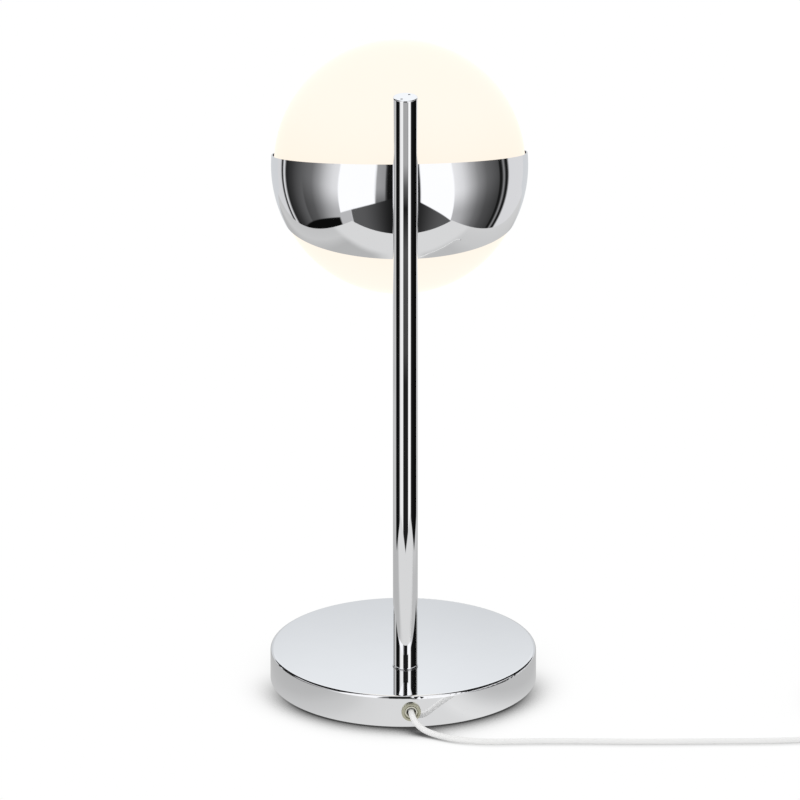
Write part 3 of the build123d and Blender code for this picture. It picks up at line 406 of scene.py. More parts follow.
@dataclass(frozen=True)
class TurnedMetal(Finish):
    """Turned or stamped metal with fine tool rings about one axis."""

    axis: int = 2
    centre: Point = (0.0, 0.0, 0.0)
    streak_scale: float = 240.0
    ring_scale: float = 3000.0
    stain_size: float = 0.004
    stain_share: float = 0.6
    spread: float = 0.08
    haze: float = 0.16
    depth: float = 0.00002
    strength: float = 0.3

    def material(self) -> bpy.types.Material:
        """Makes the metal."""
        material, book = self._start()
        stretch = [self.streak_scale] * 3
        stretch[self.axis] = self.ring_scale
        streaks = book.add("ShaderNodeTexNoise", {}, {
            "Vector": book.place(self.centre, tuple(stretch)), "Scale": 1.0, "Detail": 3.0})
        stain = book.noise(book.place(self.centre), self.stain_size, 3.0)
        share = stain * self.stain_share + streaks * (1 - self.stain_share)
        self._end(book, {
            "Base Color": self.varied(book, share, self.spread),
            "Roughness": streaks * self.haze + (self.roughness - self.haze / 2),
            "Metallic": 1.0,
            "Normal": book.bump(streaks, self.depth, self.strength)})
        return material


@dataclass(frozen=True)
class SandCast(Finish):
    """A painted grey casting with a sand skin."""

    sand_size: float = 0.0012
    sand_depth: float = 0.0003
    patch_size: float = 0.012
    spread: float = 0.25
    haze: float = 0.2
    metallic: float = 0.6

    def material(self) -> bpy.types.Material:
        """Makes the casting."""
        material, book = self._start()
        where = book.place()
        sand = book.noise(where, self.sand_size, 5.0, 0.7)
        patch = book.noise(where, self.patch_size, 3.0)
        self._end(book, {
            "Base Color": self.varied(book, (sand + patch) * 0.5, self.spread),
            "Roughness": patch * self.haze + (self.roughness - self.haze / 2),
            "Metallic": self.metallic,
            "Normal": book.bump(sand, self.sand_depth, 0.6)})
        return material


@dataclass(frozen=True)
class FoamPad(Finish):
    """A closed-cell foam sheet."""

    cells_a_metre: float = 1400.0
    cell_depth: float = 0.0001
    spread: float = 0.2

    def material(self) -> bpy.types.Material:
        """Makes the foam."""
        material, book = self._start()
        cells = book.add("ShaderNodeTexVoronoi", {},
                         {"Vector": book.place(), "Scale": self.cells_a_metre})
        self._end(book, {
            "Base Color": self.varied(book, cells, self.spread),
            "Roughness": self.roughness,
            "Normal": book.bump(cells, self.cell_depth, 0.5)})
        return material


# ---------------------------------------------------------------- finishes of this lamp

STEEL_GREY = (0.62, 0.62, 0.63)
BRASS_YELLOW = (0.72, 0.52, 0.24)

CHROME = PolishedChrome("polished_chrome", (0.93, 0.935, 0.945), 0.025)
STEEL = TurnedMetal("plated_steel", STEEL_GREY, 0.32)
BRASS = TurnedMetal("stamped_brass", BRASS_YELLOW, 0.3)
WHITE_PLASTIC = Moulded("white_plastic", (0.82, 0.82, 0.80), 0.34)
JACKET = Moulded("cord_jacket", (0.91, 0.91, 0.905), 0.36, grain=0.004, depth=0.000004,
                 spread=0.008)


# ---------------------------------------------------------------- sub-assemblies


class Assembly:
    """A group of pieces that is built and dressed together."""

    def dress(self, nodes: Nodes, finish: Finish, *names: str) -> None:
        """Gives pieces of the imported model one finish.

        Args:
            nodes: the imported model's pieces by name.
            finish: the finish that they share.
            names: the pieces.
        """
        material = finish.material()
        for name in names:
            data = nodes[name].data
            data.materials.clear()
            data.materials.append(material)
            LOG.info("%s: %s", name, finish.name)

    def build(self, nodes: Nodes) -> None:
        """Builds and dresses the group's pieces."""
        raise NotImplementedError


@dataclass
class WeightedBase(Assembly):
    """The round base: a chrome cover over an iron weight, closed by a plate on foam."""

    chrome: Finish = CHROME
    weight: Finish = SandCast("cast_weight", (0.12, 0.12, 0.125), 0.6)
    plate: Finish = TurnedMetal("pressed_plate", (0.60, 0.60, 0.61), 0.36)
    foam: Finish = FoamPad("foot_foam", (0.03, 0.03, 0.032), 0.9)

    def build(self, nodes: Nodes) -> None:
        """Dresses the cover, what it holds and what it stands on."""
        self.dress(nodes, self.chrome, "base_cover")
        self.dress(nodes, self.weight, "base_weight")
        self.dress(nodes, self.plate, "base_plate", "plate_screws")
        self.dress(nodes, self.foam, "foot_pad")


@dataclass
class CordGland(Assembly):
    """The turned gland in the base's edge, its bush, and the clamp behind it."""

    olive_grey: Colour = (0.56, 0.55, 0.43)

    def build(self, nodes: Nodes) -> None:
        """Dresses the gland, its bush and the clamp."""
        metal = TurnedMetal("gland_metal", self.olive_grey, 0.34, axis=1,
                            centre=(GLAND_X * MM, 0.0, GLAND_Z * MM))
        self.dress(nodes, metal, "cord_gland", "gland_nut")
        self.dress(nodes, Moulded("gland_bush", (0.70, 0.69, 0.60), 0.5), "gland_sleeve")
        self.dress(nodes, WHITE_PLASTIC, "cord_clamp")
        self.dress(nodes, STEEL, "clamp_screws")
        self.dress(nodes, JACKET, "held_lead")
        self.dress(nodes, Moulded("core_insulation", (0.45, 0.22, 0.10), 0.5), "lead_cores")


@dataclass
class Column(Assembly):
    """The upright tube with its capped top, and the stud and nut that hold it down."""

    def build(self, nodes: Nodes) -> None:
        """Dresses the column and its fixings."""
        steel = TurnedMetal("turned_steel", STEEL_GREY, 0.32,
                            centre=(0.0, COLUMN_Y * MM, 0.0))
        self.dress(nodes, CHROME, "column_tube", "column_cap")
        self.dress(nodes, steel, "column_foot", "foot_stud", "foot_washer", "foot_nut",
                   "nipple_insert")


@dataclass
class GlobeShade(Assembly):
    """The opal globe: a lift-off dome and a bowl in a chrome band."""

    radius: float = 75.6

    def build(self, nodes: Nodes) -> None:
        """Dresses the glass, the band and the dome's rests."""
        glass = OpalGlass("opal_glass", (0.05, 0.049, 0.048), 0.30,
                          centre=tuple(c * MM for c in GLOBE_CENTRE), radius=self.radius * MM)
        self.dress(nodes, glass, "glass_dome", "glass_bowl")
        self.dress(nodes, CHROME, "chrome_band", "arm_saddle")
        self.dress(nodes, STEEL, "dome_rests")
        self.dress(nodes, Moulded("silicone_pad", (0.72, 0.72, 0.70), 0.5), "dome_pads")


@dataclass
class LampHolder(Assembly):
    """The screw lampholder on its threaded arm inside the globe."""

    def build(self, nodes: Nodes) -> None:
        """Dresses the arm and the lampholder."""
        centre = (0.0, 0.0, GLOBE_CENTRE[2] * MM)
        arm = TurnedMetal("plated_arm", STEEL_GREY, 0.3, axis=1, centre=centre)
        brass = TurnedMetal("turned_brass", BRASS_YELLOW, 0.3, axis=1, centre=centre)
        body = Moulded("holder_plastic", (0.80, 0.79, 0.76), 0.45)
        self.dress(nodes, arm, "arm_nipple", "arm_washer", "arm_nut")
        self.dress(nodes, body, "holder_cap", "holder_body")
        self.dress(nodes, brass, "holder_shell", "holder_contact", "holder_terminals")


@dataclass
class GlobeBulb(Assembly):
    """The small screw-in globe bulb."""

    def build(self, nodes: Nodes) -> None:
        """Dresses the bulb's cap, collar and diffuser."""
        cap = TurnedMetal("bulb_cap_metal", (0.66, 0.66, 0.66), 0.28, axis=1,
                          centre=(0.0, 0.0, GLOBE_CENTRE[2] * MM))
        self.dress(nodes, cap, "bulb_tip", "bulb_cap")
        self.dress(nodes, Moulded("bulb_insulator_black", (0.02, 0.02, 0.02), 0.25),
                   "bulb_insulator")
        self.dress(nodes, Moulded("bulb_collar_white", (0.85, 0.84, 0.80), 0.4), "bulb_collar")
        self.dress(nodes, Moulded("bulb_diffuser", (0.95, 0.90, 0.80), 0.4, glow=1.0),
                   "bulb_globe")


@dataclass
class CordSwitch(Assembly):
    """The rocker switch on the cord."""

    def build(self, nodes: Nodes) -> None:
        """Dresses the switch's shells, its rocker and its metal parts."""
        self.dress(nodes, WHITE_PLASTIC, "switch_lower", "switch_upper")
        self.dress(nodes, Moulded("rocker_white", (0.84, 0.84, 0.83), 0.28), "switch_rocker")
        self.dress(nodes, STEEL, "switch_screws")
        self.dress(nodes, BRASS, "switch_terminals")


@dataclass
class MainsPlug(Assembly):
    """The flat two-pin plug on the cord's end."""

    def build(self, nodes: Nodes) -> None:
        """Dresses the plug's body, relief, pins and their sleeves."""
        pins = TurnedMetal("plug_pin_metal", (0.68, 0.67, 0.64), 0.26, axis=1,
                           centre=(PLUG_X * MM, 0.0, PLUG_Z * MM))
        self.dress(nodes, WHITE_PLASTIC, "plug_body", "plug_relief", "pin_sleeves")
        self.dress(nodes, pins, "plug_pins")


# ---------------------------------------------------------------- the mains lead


def metres(points: Iterable[Point]) -> list[Point]:
    """Points in millimetres as points in metres."""
    return [tuple(c * MM for c in p) for p in points]


@dataclass
class MainsLead(Assembly):
    """The white cord from the base to the plug, with the switch on it and a tied coil."""

    diameter: float = 3.8
    floor_z: float = 1.95
    edge_y: float = -80.0
    switch_x: float = 262.0
    switch_z: float = 6.0
    coil_past_edge: float = 104.0
    coil_turns_a_layer: float = 2.5
    coil_layers: int = 4
    coil_pitch: float = 4.3
    coil_inner_r: float = 16.0
    coil_low_z: float = 2.75
    climb_share: float = 0.25  # share of a turn to each side of a climb to the next layer
    points_a_turn: int = 20
    round_steps: int = 5
    steps_a_point: int = 6
    switch_nodes: tuple[str, ...] = ("switch_lower", "switch_upper", "switch_rocker",
                                     "switch_screws", "switch_terminals")
    far_nodes: tuple[str, ...] = ("cord_tie", "plug_relief", "plug_body", "plug_pins",
                                  "pin_sleeves")
    seen_length: float = 0.302
    stored_length: float = 1.454

    def from_edge(self, points: Iterable[Point]) -> list[Point]:
        """Places points whose Y is counted from the base's edge."""
        return [(x, y + self.edge_y, z) for x, y, z in points]

    def lead_route(self) -> list[Point]:
        """From the gland to the switch."""
        floor = self.floor_z
        return self.from_edge([
            (GLAND_X, 1.75, GLAND_Z),
            (GLAND_X, -4.2, GLAND_Z),
            (3.6, -7.8, 7.0),
            (8.3, -11.2, 3.4),
            (15.8, -16.2, floor),
            (28.3, -24.4, floor),
            (45.4, -28.8, floor),
            (69.5, -28.3, floor),
            (100.0, -29.4, floor),
            (138.0, -32.2, floor),
            (178.0, -32.9, floor),
            (211.0, -33.8, floor),
            (236.0, -33.0, floor),
            (249.5, -30.2, 2.3),
            (258.5, -21.0, 3.8),
            (self.switch_x, -8.0, self.switch_z),
            (self.switch_x, 5.0, self.switch_z)])

    def tail_route(self) -> list[Point]:
        """From the switch to the coil."""
        return self.from_edge([
            (self.switch_x, 55.0, self.switch_z),
            (self.switch_x, 66.0, self.switch_z),
            (262.8, 77.0, 4.1),
            (self.switch_x, 89.0, self.coil_low_z),
            (self.switch_x, self.coil_past_edge - self.diameter, self.coil_low_z)])

    def end_route(self) -> list[Point]:
        """From the coil to the plug."""
        high = self.coil_low_z + (self.coil_layers - 1) * self.coil_pitch
        return self.from_edge([
            (self.switch_x, self.coil_past_edge + self.diameter, high),
            (self.switch_x, 117.0, high),
            (264.5, 127.0, 13.2),
            (270.0, 137.5, 9.0),
            (PLUG_X, 148.5, PLUG_Z),
            (PLUG_X, 162.0, PLUG_Z)])

    def coil_point(self, turned: float) -> Point:
        """The coil's centreline after so many turns, a layer higher each time it turns back."""
        width = self.coil_pitch * self.coil_turns_a_layer
        outer = self.coil_inner_r + width
        layer = turned / self.coil_turns_a_layer
        swing = abs((layer + 1) % 2 - 1) if turned > 0 else 0.0
        radius = outer - swing * width
        nearest = round(layer)
        past = (turned - nearest * self.coil_turns_a_layer) / self.climb_share
        if 0 < nearest < self.coil_layers and abs(past) < 1:
            level = nearest - 0.5 + past / 2
        else:
            level = min(math.floor(layer), self.coil_layers - 1)
        angle = math.pi - 2 * math.pi * turned
        return (self.switch_x + outer + radius * math.cos(angle),
                self.edge_y + self.coil_past_edge + radius * math.sin(angle),
                self.coil_low_z + self.coil_pitch * level)

    def coil_points(self) -> list[Point]:
        """The coil's turns, point by point."""
        steps = int(self.points_a_turn * self.coil_turns_a_layer * self.coil_layers)
        return [self.coil_point(k / self.points_a_turn) for k in range(steps + 1)]

    def curve(self, name: str, points: Sequence[Point]) -> bpy.types.Object:
        """One smooth cord on these points, in millimetres."""
        data = bpy.data.curves.new(name, "CURVE")
        data.dimensions = "3D"
        spline = data.splines.new("NURBS")
        spline.points.add(len(points) - 1)
        for point, place in zip(spline.points, metres(points)):
            point.co = (*place, 1.0)
        spline.order_u = 3
        spline.use_endpoint_u = True
        spline.resolution_u = self.steps_a_point
        data.bevel_depth = self.diameter / 2 * MM
        data.bevel_resolution = self.round_steps
        data.use_fill_caps = True
        made = bpy.data.objects.new(name, data)
        bpy.context.scene.collection.objects.link(made)
        made.data.materials.append(JACKET.material())
        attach(made, Body.STAND.value)
        return made

    def build(self, nodes: Nodes) -> None:
        """The stretch past the switch is put away out of the photograph's frame, with the switch and
        the plug, so none of them shows in the chrome.
        """
        lead = self.curve("lead_to_switch", self.lead_route())
        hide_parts("cord_lead")
        tail = self.curve("lead_to_plug", self.tail_route() + self.coil_points() + self.end_route())
        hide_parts("cord_tail", "cord_coil", "cord_end")
        for put_away in (tail, *(nodes[name] for name in self.switch_nodes + self.far_nodes)):
            put_away.visible_glossy = False
        LOG.info("cord: %d and %d control points", len(lead.data.splines[0].points),
                 len(tail.data.splines[0].points))
        self.dress(nodes, Moulded("tie_strap", (0.80, 0.80, 0.78), 0.55, grain=0.0005,
                                  depth=0.0001), "cord_tie")


# ---------------------------------------------------------------- studio


class StudioPiece:
    """A part of the studio, none of which belongs to the object."""

    @staticmethod
    def staged(name: str, shape: bmesh.types.BMesh,
               material: bpy.types.Material) -> bpy.types.Object:
        """Puts a finished shape on the stage.

        Args:
            name: the object's name.
            shape: its shape, which is freed.
            material: its material.

        Returns:
            The object.
        """
        mesh = bpy.data.meshes.new(name)
        shape.to_mesh(mesh)
        shape.free()
        mesh.materials.append(material)
        made = bpy.data.objects.new(name, mesh)
        bpy.context.scene.collection.objects.link(made)
        return made

    @staticmethod
    def only_in_gloss(made: bpy.types.Object, material: bpy.types.Material) -> None:
        """Hides a piece from every ray but the glossy ones."""
        material.cycles.emission_sampling = "NONE"
        for ray in ("camera", "diffuse", "transmission", "shadow", "volume_scatter"):
            setattr(made, f"visible_{ray}", False)

    @staticmethod
    def shader(name: str) -> tuple[bpy.types.Material, NodeBook]:
        """An empty material and its node tree."""
        material = bpy.data.materials.new(name)
        material.use_nodes = True
        return material, NodeBook(material.node_tree)

    def build(self) -> None:
        """Puts the piece into the scene."""
        raise NotImplementedError


@dataclass
class Camera(StudioPiece):
    """A long lens from the photograph's side and height."""

    azimuth: float = -2.313  # from -Y towards +X
    elevation: float = 21.635
    mm_a_pixel: float = 0.60085
    aim: Point = (-0.0019655, 0.0, 0.180443)
    lens: float = 1600.0
    sensor: float = 36.0
    clip: Span = (0.5, 100.0)

    def build(self) -> None:
        """Makes the camera and chooses it."""
        width = IMAGE_PIXELS * self.mm_a_pixel * MM
        distance = width * self.lens / self.sensor
        az, el = math.radians(self.azimuth), math.radians(self.elevation)
        back = Vector((math.sin(az) * math.cos(el), -math.cos(az) * math.cos(el), math.sin(el)))
        data = bpy.data.cameras.new("camera")
        data.lens, data.sensor_width = self.lens, self.sensor
        data.clip_start, data.clip_end = self.clip
        camera = bpy.data.objects.new("camera", data)
        bpy.context.scene.collection.objects.link(camera)
        camera.location = Vector(self.aim) + back * distance
        camera.rotation_euler = back.to_track_quat("Z", "Y").to_euler()
        bpy.context.scene.camera = camera


@dataclass
class Table(StudioPiece):
    """A pale floor: white to the eye, a grey table in the chrome, soft shadow close in.

    Places are in metres, but for those of the greys, which are in millimetres.
    """

    half_size: float = 6.0
    colour: Colour = (0.8, 0.8, 0.8)
    shadow_reach: float = 0.09
    shadow_span: Span = (0.43, 0.95)  # shares of open sky
    darkest: float = 0.06
    brightest: float = 1.01
    base_rim: Span = (0.088, 0.118)
    base_shadow: Span = (-0.02, 0.055)  # how it grows towards the camera's side
    least_base_shadow: float = 0.1
    cord_shadow: float = 0.2
    switch_shadow: float = 0.5  # on top of the cord's
    switch_from: Span = (0.245, 0.26)
    table_half: float = 0.385
    table_front: float = -0.33
    edge_blur: float = 0.002
    ahead_from: Span = (0.09, 0.15)
    ahead_grey: float = 0.72
    reach: Span = (-400.0, 400.0)
    # Grey of the table in the chrome, by its place along X.
    greys: GreyStops = (
        (-400, 0.56), (-300, 0.60), (-240, 0.48), (-110, 0.48), (-91, 0.51), (-75, 0.58),
        (-60, 0.62), (-45, 0.69), (-20, 0.73), (0, 0.73), (20, 0.72), (34, 0.73), (47, 0.79),
        (60, 0.75), (70, 0.67), (80, 0.58), (92, 0.52), (200, 0.52), (260, 0.60), (400, 0.66))

    def shadow(self, book: NodeBook, x: Value, y: Value) -> Value:
        """Contact shadow on white, fullest on the camera's side of the base."""
        open_sky = book.add("ShaderNodeAmbientOcclusion", {"samples": 16},
                            {"Distance": self.shadow_reach}, 1)
        shade = open_sky.above(*self.shadow_span) * (self.brightest - self.darkest) + self.darkest
        near_base = 1 - (x * x + y * y).power(0.5).above(*self.base_rim)
        growth = (0 - y).above(*self.base_shadow)
        at_base = growth * (1 - self.least_base_shadow) + self.least_base_shadow
        at_cord = x.above(*self.switch_from) * self.switch_shadow + self.cord_shadow
        depth = near_base * at_base + (1 - near_base) * at_cord
        return 1 - (1 - shade) * depth

    def mirrored(self, book: NodeBook, x: Value, y: Value) -> bpy.types.NodeSocket:
        """The table that the chrome shows, clear outside its edges."""
        grey = book.channel(book.grey_ramp(x * (1 / MM), self.reach, self.greys))
        grey = grey.towards(self.ahead_grey, (0 - y).above(*self.ahead_from))
        inside = (1 - x.magnitude().past(self.table_half, self.edge_blur)) \
            * y.past(self.table_front, self.edge_blur)
        clear = book.node("ShaderNodeBsdfTransparent").outputs[0]
        return book.mixed(inside, clear, book.shine(book.tinted(grey)))

    def build(self) -> None:
        """Makes the floor."""
        shape = bmesh.new()
        bmesh.ops.create_grid(shape, x_segments=1, y_segments=1, size=self.half_size)
        material, book = self.shader("floor_white")
        x, y, _ = book.split(book.node("ShaderNodeTexCoord").outputs["Object"])
        matt = book.node("ShaderNodeBsdfDiffuse", {}, {"Color": self.colour}).outputs[0]
        unseen = book.mixed(book.seen_in_gloss(), matt, self.mirrored(book, x, y))
        eye = book.shine(book.tinted(self.shadow(book, x, y)))
        book.node("ShaderNodeOutputMaterial", {},
                  {"Surface": book.mixed(book.seen_directly(), unseen, eye)})
        self.staged("floor", shape, material)


@dataclass(frozen=True)
class Slope:
    """A sloping edge in the room: its height at one turn and its rise a degree."""

    turn: float
    height: float
    rise: float
    blur: float

    def below(self, turn: Value, height: Value) -> Value:
        """1 under the edge and 0 over it."""
        edge = (turn - self.turn) * self.rise + self.height
        return (edge - height).past(0.0, self.blur)


# Spans that no turn or height reaches, for a patch that is open to one side.
FROM_FRONT, PAST_BACK, PAST_ZENITH = (-2.0, -1.0), (181.0, 182.0), (91.0, 92.0)


@dataclass(frozen=True)
class Patch:
    """An even grey on both sides of the room, between two heights and two turns."""

    grey: float
    heights: tuple[Span, Span]
    turns: tuple[Span, Span] = (FROM_FRONT, PAST_BACK)


@dataclass
class Room(StudioPiece):
    """The world: white to the eye, panels and dark gaps in the chrome, plain light.

    Turns are degrees from the camera's side towards +X, heights are degrees above level.
    """

    ambient: float = 0.92
    tint: Colour = (1.0, 1.0, 1.02)
    reach: Span = (-180.0, 180.0)
    greys: GreyStops = (
        (-134, 0.68), (-133, 0.02), (-130, 0.02), (-128, 0.85),
        (-124, 0.015), (-114, 0.04), (-87, 0.17), (-79, 0.33),
        (-71, 0.57), (-64, 0.74), (-58.4, 0.80), (-58, 1.06), (-24, 1.06), (-23.6, 0.36),
        (-14.4, 0.30), (-14, 0.008), (15.6, 0.008), (16, 1.06), (47, 1.06), (47.4, 0.85),
        (56, 0.72), (64, 0.47), (72, 0.26), (82, 0.13), (97, 0.07),
        (98, 0.01), (102, 0.01), (104, 0.27), (106.5, 0.01), (110.5, 0.01),
        (112, 0.72))
    # What fades towards the table: all that stands beside the white panels, and a strip.
    beside_left: Span = (-58.4, -58.0)
    beside_right: Span = (47.0, 47.4)
    beside_ends: Span = (97.0, 100.0)
    beside_fade: Span = (6.0, 28.0)  # degrees below level
    beside_loss: float = 0.42
    strip: tuple[Span, Span] = ((-24.0, -23.6), (-14.4, -14.0))
    strip_fade: Span = (-2.0, 20.0)
    strip_loss: float = 0.7
    # The dark under the panels, down to the table's edge, ends upwards on these slopes.
    left_slope: Slope = Slope(-24.0, -14.5, 0.353, 0.6)
    right_slope: Slope = Slope(14.0, -12.0, -0.62, 0.6)
    skirt_slope: Slope = Slope(-57.0, -30.0, 0.152, 0.5)
    left_turns: tuple[Span, Span] = ((-48.0, -46.0), (-2.0, 0.0))
    right_turns: tuple[Span, Span] = ((-1.0, 1.0), (47.0, 48.5))
    wedge_turns: tuple[Span, Span] = ((-60.0, -58.0), (-48.0, -46.0))
    skirt_turns: tuple[Span, Span] = ((-124.0, -122.0), (-61.0, -59.0))
    wedge_grey: float = 0.5
    skirt_grey: float = 0.004
    under_centre: float = 1.0
    under_span: Span = (8.0, 40.0)
    under_grey: Span = (0.01, 0.10)
    # Above the panels.
    high_from: Span = (27.0, 29.0)
    high_ahead: Span = (23.0, 25.0)
    high_beside: tuple[Span, Span] = ((58.0, 62.0), (140.0, 150.0))
    high_dark: float = 0.01
    patches: tuple[Patch, ...] = (
        Patch(0.01, ((8.0, 9.0), (13.0, 14.0)), ((64.0, 68.0), (140.0, 150.0))),
        Patch(0.62, ((13.0, 14.0), (27.0, 29.0)), ((60.0, 64.0), PAST_BACK)),
        Patch(0.012, ((13.0, 14.0), (42.0, 46.0)), ((108.0, 112.0), (160.0, 166.0))),
        Patch(0.6, ((70.0, 78.0), PAST_ZENITH)))

    def panels(self, book: NodeBook, turn: Value, height: Value) -> Value:
        """The upright panels, fading towards the table."""
        grey = book.channel(book.grey_ramp(turn, self.reach, self.greys))
        beside = (1 - turn.above(*self.beside_left)).highest(turn.above(*self.beside_right))
        beside = beside * (1 - turn.magnitude().above(*self.beside_ends))
        below = 0 - height
        grey = grey * (1 - beside * below.above(*self.beside_fade) * self.beside_loss)
        strip = turn.between(*self.strip) * below.above(*self.strip_fade)
        return grey * (1 - strip * self.strip_loss)

    def under(self, grey: Value, turn: Value, height: Value) -> Value:
        """Darkens what lies under the panels, down to the table's edge."""
        left = turn.between(*self.left_turns) * self.left_slope.below(turn, height)
        right = turn.between(*self.right_turns) * self.right_slope.below(turn, height)
        wedge = turn.between(*self.wedge_turns) * self.left_slope.below(turn, height)
        skirt = turn.between(*self.skirt_turns) * self.skirt_slope.below(turn, height)
        low, high = self.under_grey
        off_centre = (turn - self.under_centre).magnitude()
        ground = off_centre.above(*self.under_span) * (high - low) + low
        grey = grey.towards(ground, left.highest(right))
        return grey.towards(self.wedge_grey, wedge).towards(self.skirt_grey, skirt)

    def over(self, grey: Value, turn: Value, height: Value) -> Value:
        """Lays the ceiling and the patches over what lies above the panels."""
        turned = turn.magnitude()
        dark = (1 - turned.above(*self.high_ahead)).highest(turned.between(*self.high_beside))
        grey = grey.towards(dark * (self.high_dark - 1) + 1, height.above(*self.high_from))
        for patch in self.patches:
            share = height.between(*patch.heights) * turned.between(*patch.turns)
            grey = grey.towards(patch.grey, share)
        return grey

    @staticmethod
    def light(book: NodeBook, colour: Value | Colour, strength: float) -> bpy.types.NodeSocket:
        """A light from all round."""
        return book.node("ShaderNodeBackground", {},
                         {"Color": colour, "Strength": strength}).outputs[0]

    def build(self) -> None:
        """Makes the world."""
        world = bpy.data.worlds.new("room")
        bpy.context.scene.world = world
        world.use_nodes = True
        book = NodeBook(world.node_tree)
        x, y, z = book.split(book.node("ShaderNodeTexCoord").outputs["Generated"])
        turn = book.bearing(x, y)
        height = book.add("ShaderNodeMath", {"operation": "ARCSINE"}, {0: z}) * math.degrees(1.0)
        grey = self.panels(book, turn, height)
        grey = self.over(self.under(grey, turn, height), turn, height)
        shown = self.light(book, book.tinted(grey, self.tint), 1.0)
        plain = self.light(book, (1.0, 1.0, 1.0), self.ambient)
        white = self.light(book, (1.0, 1.0, 1.0), 1.0)
        unseen = book.mixed(book.seen_in_gloss(), plain, shown)
        book.node("ShaderNodeOutputWorld", {},
                  {"Surface": book.mixed(book.seen_directly(), unseen, white)})


@dataclass
class PaintedColumnReflection(StudioPiece):
    """Dark and white strips close round the column, seen only in its own chrome: a painted
    reflection that no other surface shows.

    Sizes and heights are in millimetres, turns are degrees about the column's axis.
    """

    radius: float = 10.0
    low: float = 20.9
    high: float = 386.5
    half_turn: float = 84.0
    steps: int = 72
    turn_reach: Span = (-90.0, 90.0)
    greys: GreyStops = (
        (-90, 0.55), (-67, 0.55), (-62, 0.0), (-38, 0.012), (-32, 0.88), (-16, 0.93), (-13, 0.0),
        (13, 0.0), (15.5, 1.0), (27, 1.0), (32, 0.01), (79, 0.0), (81, 0.6))
    # The strip on the camera's side changes with its height, a painted reflection that lightens near
    # the top.
    centre_turn: float = -1.0
    centre_half: Span = (12.5, 14.5)
    height_reach: Span = (0.0, 400.0)
    centre_greys: GreyStops = (
        (0, 0.012), (205, 0.015), (225, 0.055), (290, 0.08), (305, 0.04), (318, 0.012),
        (332, 0.11), (346, 0.38), (400, 0.41))
    # Near the foot the strips end on a curve that rises to the sides.
    foot_height: float = 29.0
    foot_curve: float = 0.0055
    foot_blur: float = 0.4
    # Higher up they start in points.
    point_height: float = 96.0
    point_turn: float = 56.0
    point_slope: float = 0.9
    point_blur: float = 2.0
    # Past this distance the strips are clear, so only the column's own chrome shows this painted
    # reflection.
    near: Span = (0.0085, 0.0095)  # metres from the chrome, past which the tent is clear

    @property
    def axis(self) -> Vector:
        """The column's axis at the table, in metres."""
        return Vector((0.0, COLUMN_Y * MM, 0.0))

    def shape(self) -> bmesh.types.BMesh:
        """Part of a tube round the column, facing the camera's side."""
        shape = bmesh.new()
        start = Vector((0.0, (COLUMN_Y - self.radius) * MM, self.low * MM))
        foot = shape.verts.new(start)
        top = shape.verts.new(start + Vector((0.0, 0.0, (self.high - self.low) * MM)))
        edge = shape.edges.new((foot, top))
        bmesh.ops.rotate(shape, verts=[foot, top], cent=self.axis,
                         matrix=Matrix.Rotation(math.radians(-self.half_turn), 3, "Z"))
        bmesh.ops.spin(shape, geom=[foot, top, edge], cent=self.axis, axis=(0.0, 0.0, 1.0),
                       angle=math.radians(2 * self.half_turn), steps=self.steps,
                       use_duplicate=False)
        bmesh.ops.recalc_face_normals(shape, faces=shape.faces)
        if shape.faces[:][self.steps // 2].normal.y < 0:
            bmesh.ops.reverse_faces(shape, faces=shape.faces)
        return shape

    def strips(self, book: NodeBook, turn: Value, off: Value, height: Value) -> Value:
        """The strips' colour."""
        sides = book.grey_ramp(turn, self.turn_reach, self.greys)
        centre = book.grey_ramp(height, self.height_reach, self.centre_greys)
        return book.blend(1 - off.above(*self.centre_half), sides, centre)

    def share(self, book: NodeBook, off: Value, height: Value) -> Value:
        """Where the strips stand, seen from the inside and from close by."""
        foot = off * off * self.foot_curve + self.foot_height
        at_foot = 1 - (height - foot).past(0.0, self.foot_blur)
        wave = (off - self.point_turn).magnitude().lowest(off)
        points = wave * self.point_slope + self.point_height
        share = at_foot.highest((height - points).past(0.0, self.point_blur))
        # Ray length and facing keep this painted reflection to the column's own chrome.
        length = Value(book, book.node("ShaderNodeLightPath").outputs["Ray Length"])
        outside = Value(book, book.node("ShaderNodeNewGeometry").outputs["Backfacing"])
        return share * (1 - length.above(*self.near)) * (1 - outside)

    def build(self) -> None:
        """Makes the strips of painted reflection."""
        material, book = self.shader("painted_reflection_strips")
        x, y, z = book.split(book.place(centre=tuple(self.axis)))
        turn, height = book.bearing(x, y), z * (1 / MM)
        off = (turn - self.centre_turn).magnitude()
        clear = book.node("ShaderNodeBsdfTransparent").outputs[0]
        strips = book.shine(self.strips(book, turn, off, height))
        book.node("ShaderNodeOutputMaterial", {},
                  {"Surface": book.mixed(self.share(book, off, height), clear, strips)})
        self.only_in_gloss(self.staged("column_painted_reflection", self.shape(), material), material)


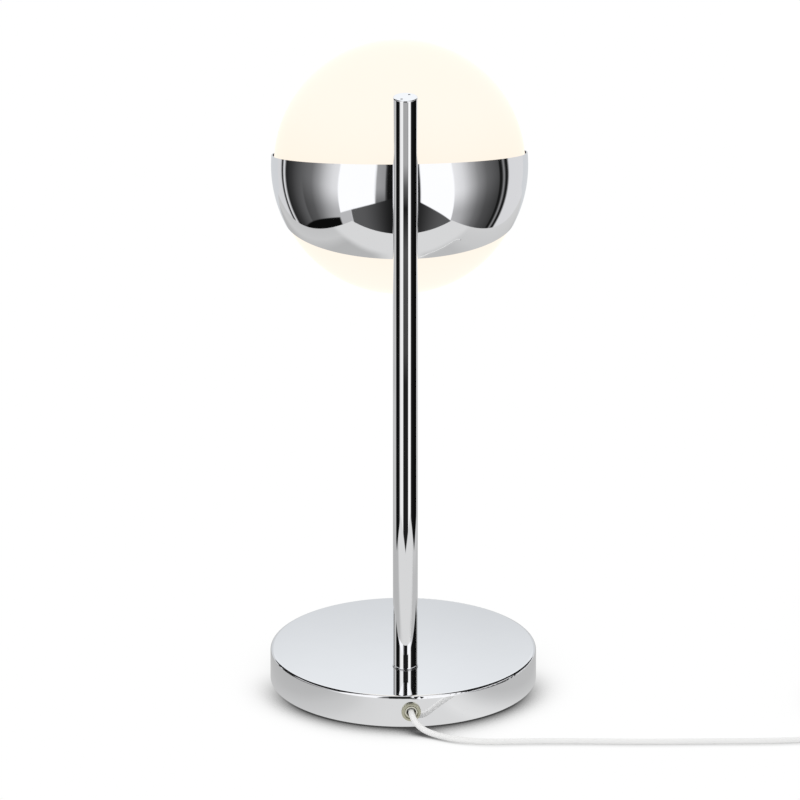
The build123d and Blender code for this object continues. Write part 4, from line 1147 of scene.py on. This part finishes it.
@dataclass
class BackCard(StudioPiece):
    """A graded pale card behind the lamp, which the level chrome mirrors. In metres."""

    distance: float = 0.6
    half_size: float = 0.5
    grey: float = 0.70
    first_rise: Span = (0.215, 0.30)
    first_gain: float = 0.17
    second_rise: Span = (0.45, 0.6)
    second_gain: float = 0.12
    sides: Span = (0.03, 0.09)
    side_loss: float = 0.03
    tint: Colour = (0.975, 1.0, 1.03)

    def build(self) -> None:
        """Makes the card."""
        shape = bmesh.new()
        bmesh.ops.create_grid(shape, x_segments=1, y_segments=1, size=self.half_size)
        bmesh.ops.rotate(shape, verts=shape.verts, cent=(0.0, 0.0, 0.0),
                         matrix=Matrix.Rotation(math.radians(90.0), 3, "X"))
        bmesh.ops.translate(shape, verts=shape.verts, vec=(0.0, self.distance, self.half_size))
        material, book = self.shader("card_grade")
        x, _, z = book.split(book.node("ShaderNodeTexCoord").outputs["Object"])
        grey = z.above(*self.first_rise) * self.first_gain \
            + z.above(*self.second_rise) * self.second_gain + self.grey
        grey = grey - x.magnitude().above(*self.sides) * self.side_loss
        book.node("ShaderNodeOutputMaterial", {},
                  {"Surface": book.shine(book.tinted(grey, self.tint))})
        self.only_in_gloss(self.staged("back_card", shape, material), material)


@dataclass
class KeyLight(StudioPiece):
    """One large soft lamp above the camera's left, unseen in the chrome."""

    place: Point = (-1.2, -1.4, 1.8)
    aim: Point = (0.0, 0.0, 0.15)
    size: float = 1.4
    watts: float = 6.0

    def build(self) -> None:
        """Makes the lamp."""
        data = bpy.data.lights.new("key", "AREA")
        data.shape, data.size, data.energy = "SQUARE", self.size, self.watts
        key = bpy.data.objects.new("key", data)
        bpy.context.scene.collection.objects.link(key)
        key.location = self.place
        back = Vector(self.place) - Vector(self.aim)
        key.rotation_euler = back.to_track_quat("Z", "Y").to_euler()
        key.visible_glossy = False
        key.visible_camera = False


def main() -> None:
    """Builds the lamp's finishes and pieces in order."""
    logging.basicConfig(level=logging.INFO, format="%(name)s: %(message)s")
    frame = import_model()
    for group in (WeightedBase(), CordGland(), Column(), GlobeShade(), LampHolder(), GlobeBulb(),
                  CordSwitch(), MainsPlug(), MainsLead()):
        LOG.info("%s", type(group).__name__)
        group.build(frame["nodes"])
    for stage in (Camera(), Table(), Room(), PaintedColumnReflection(), BackCard(), KeyLight()):
        stage.build()
    bpy.context.scene.view_settings.view_transform = "Standard"
    LOG.info("studio ready")
    bpy.context.view_layer.update()


if __name__ == "__main__":
    main()
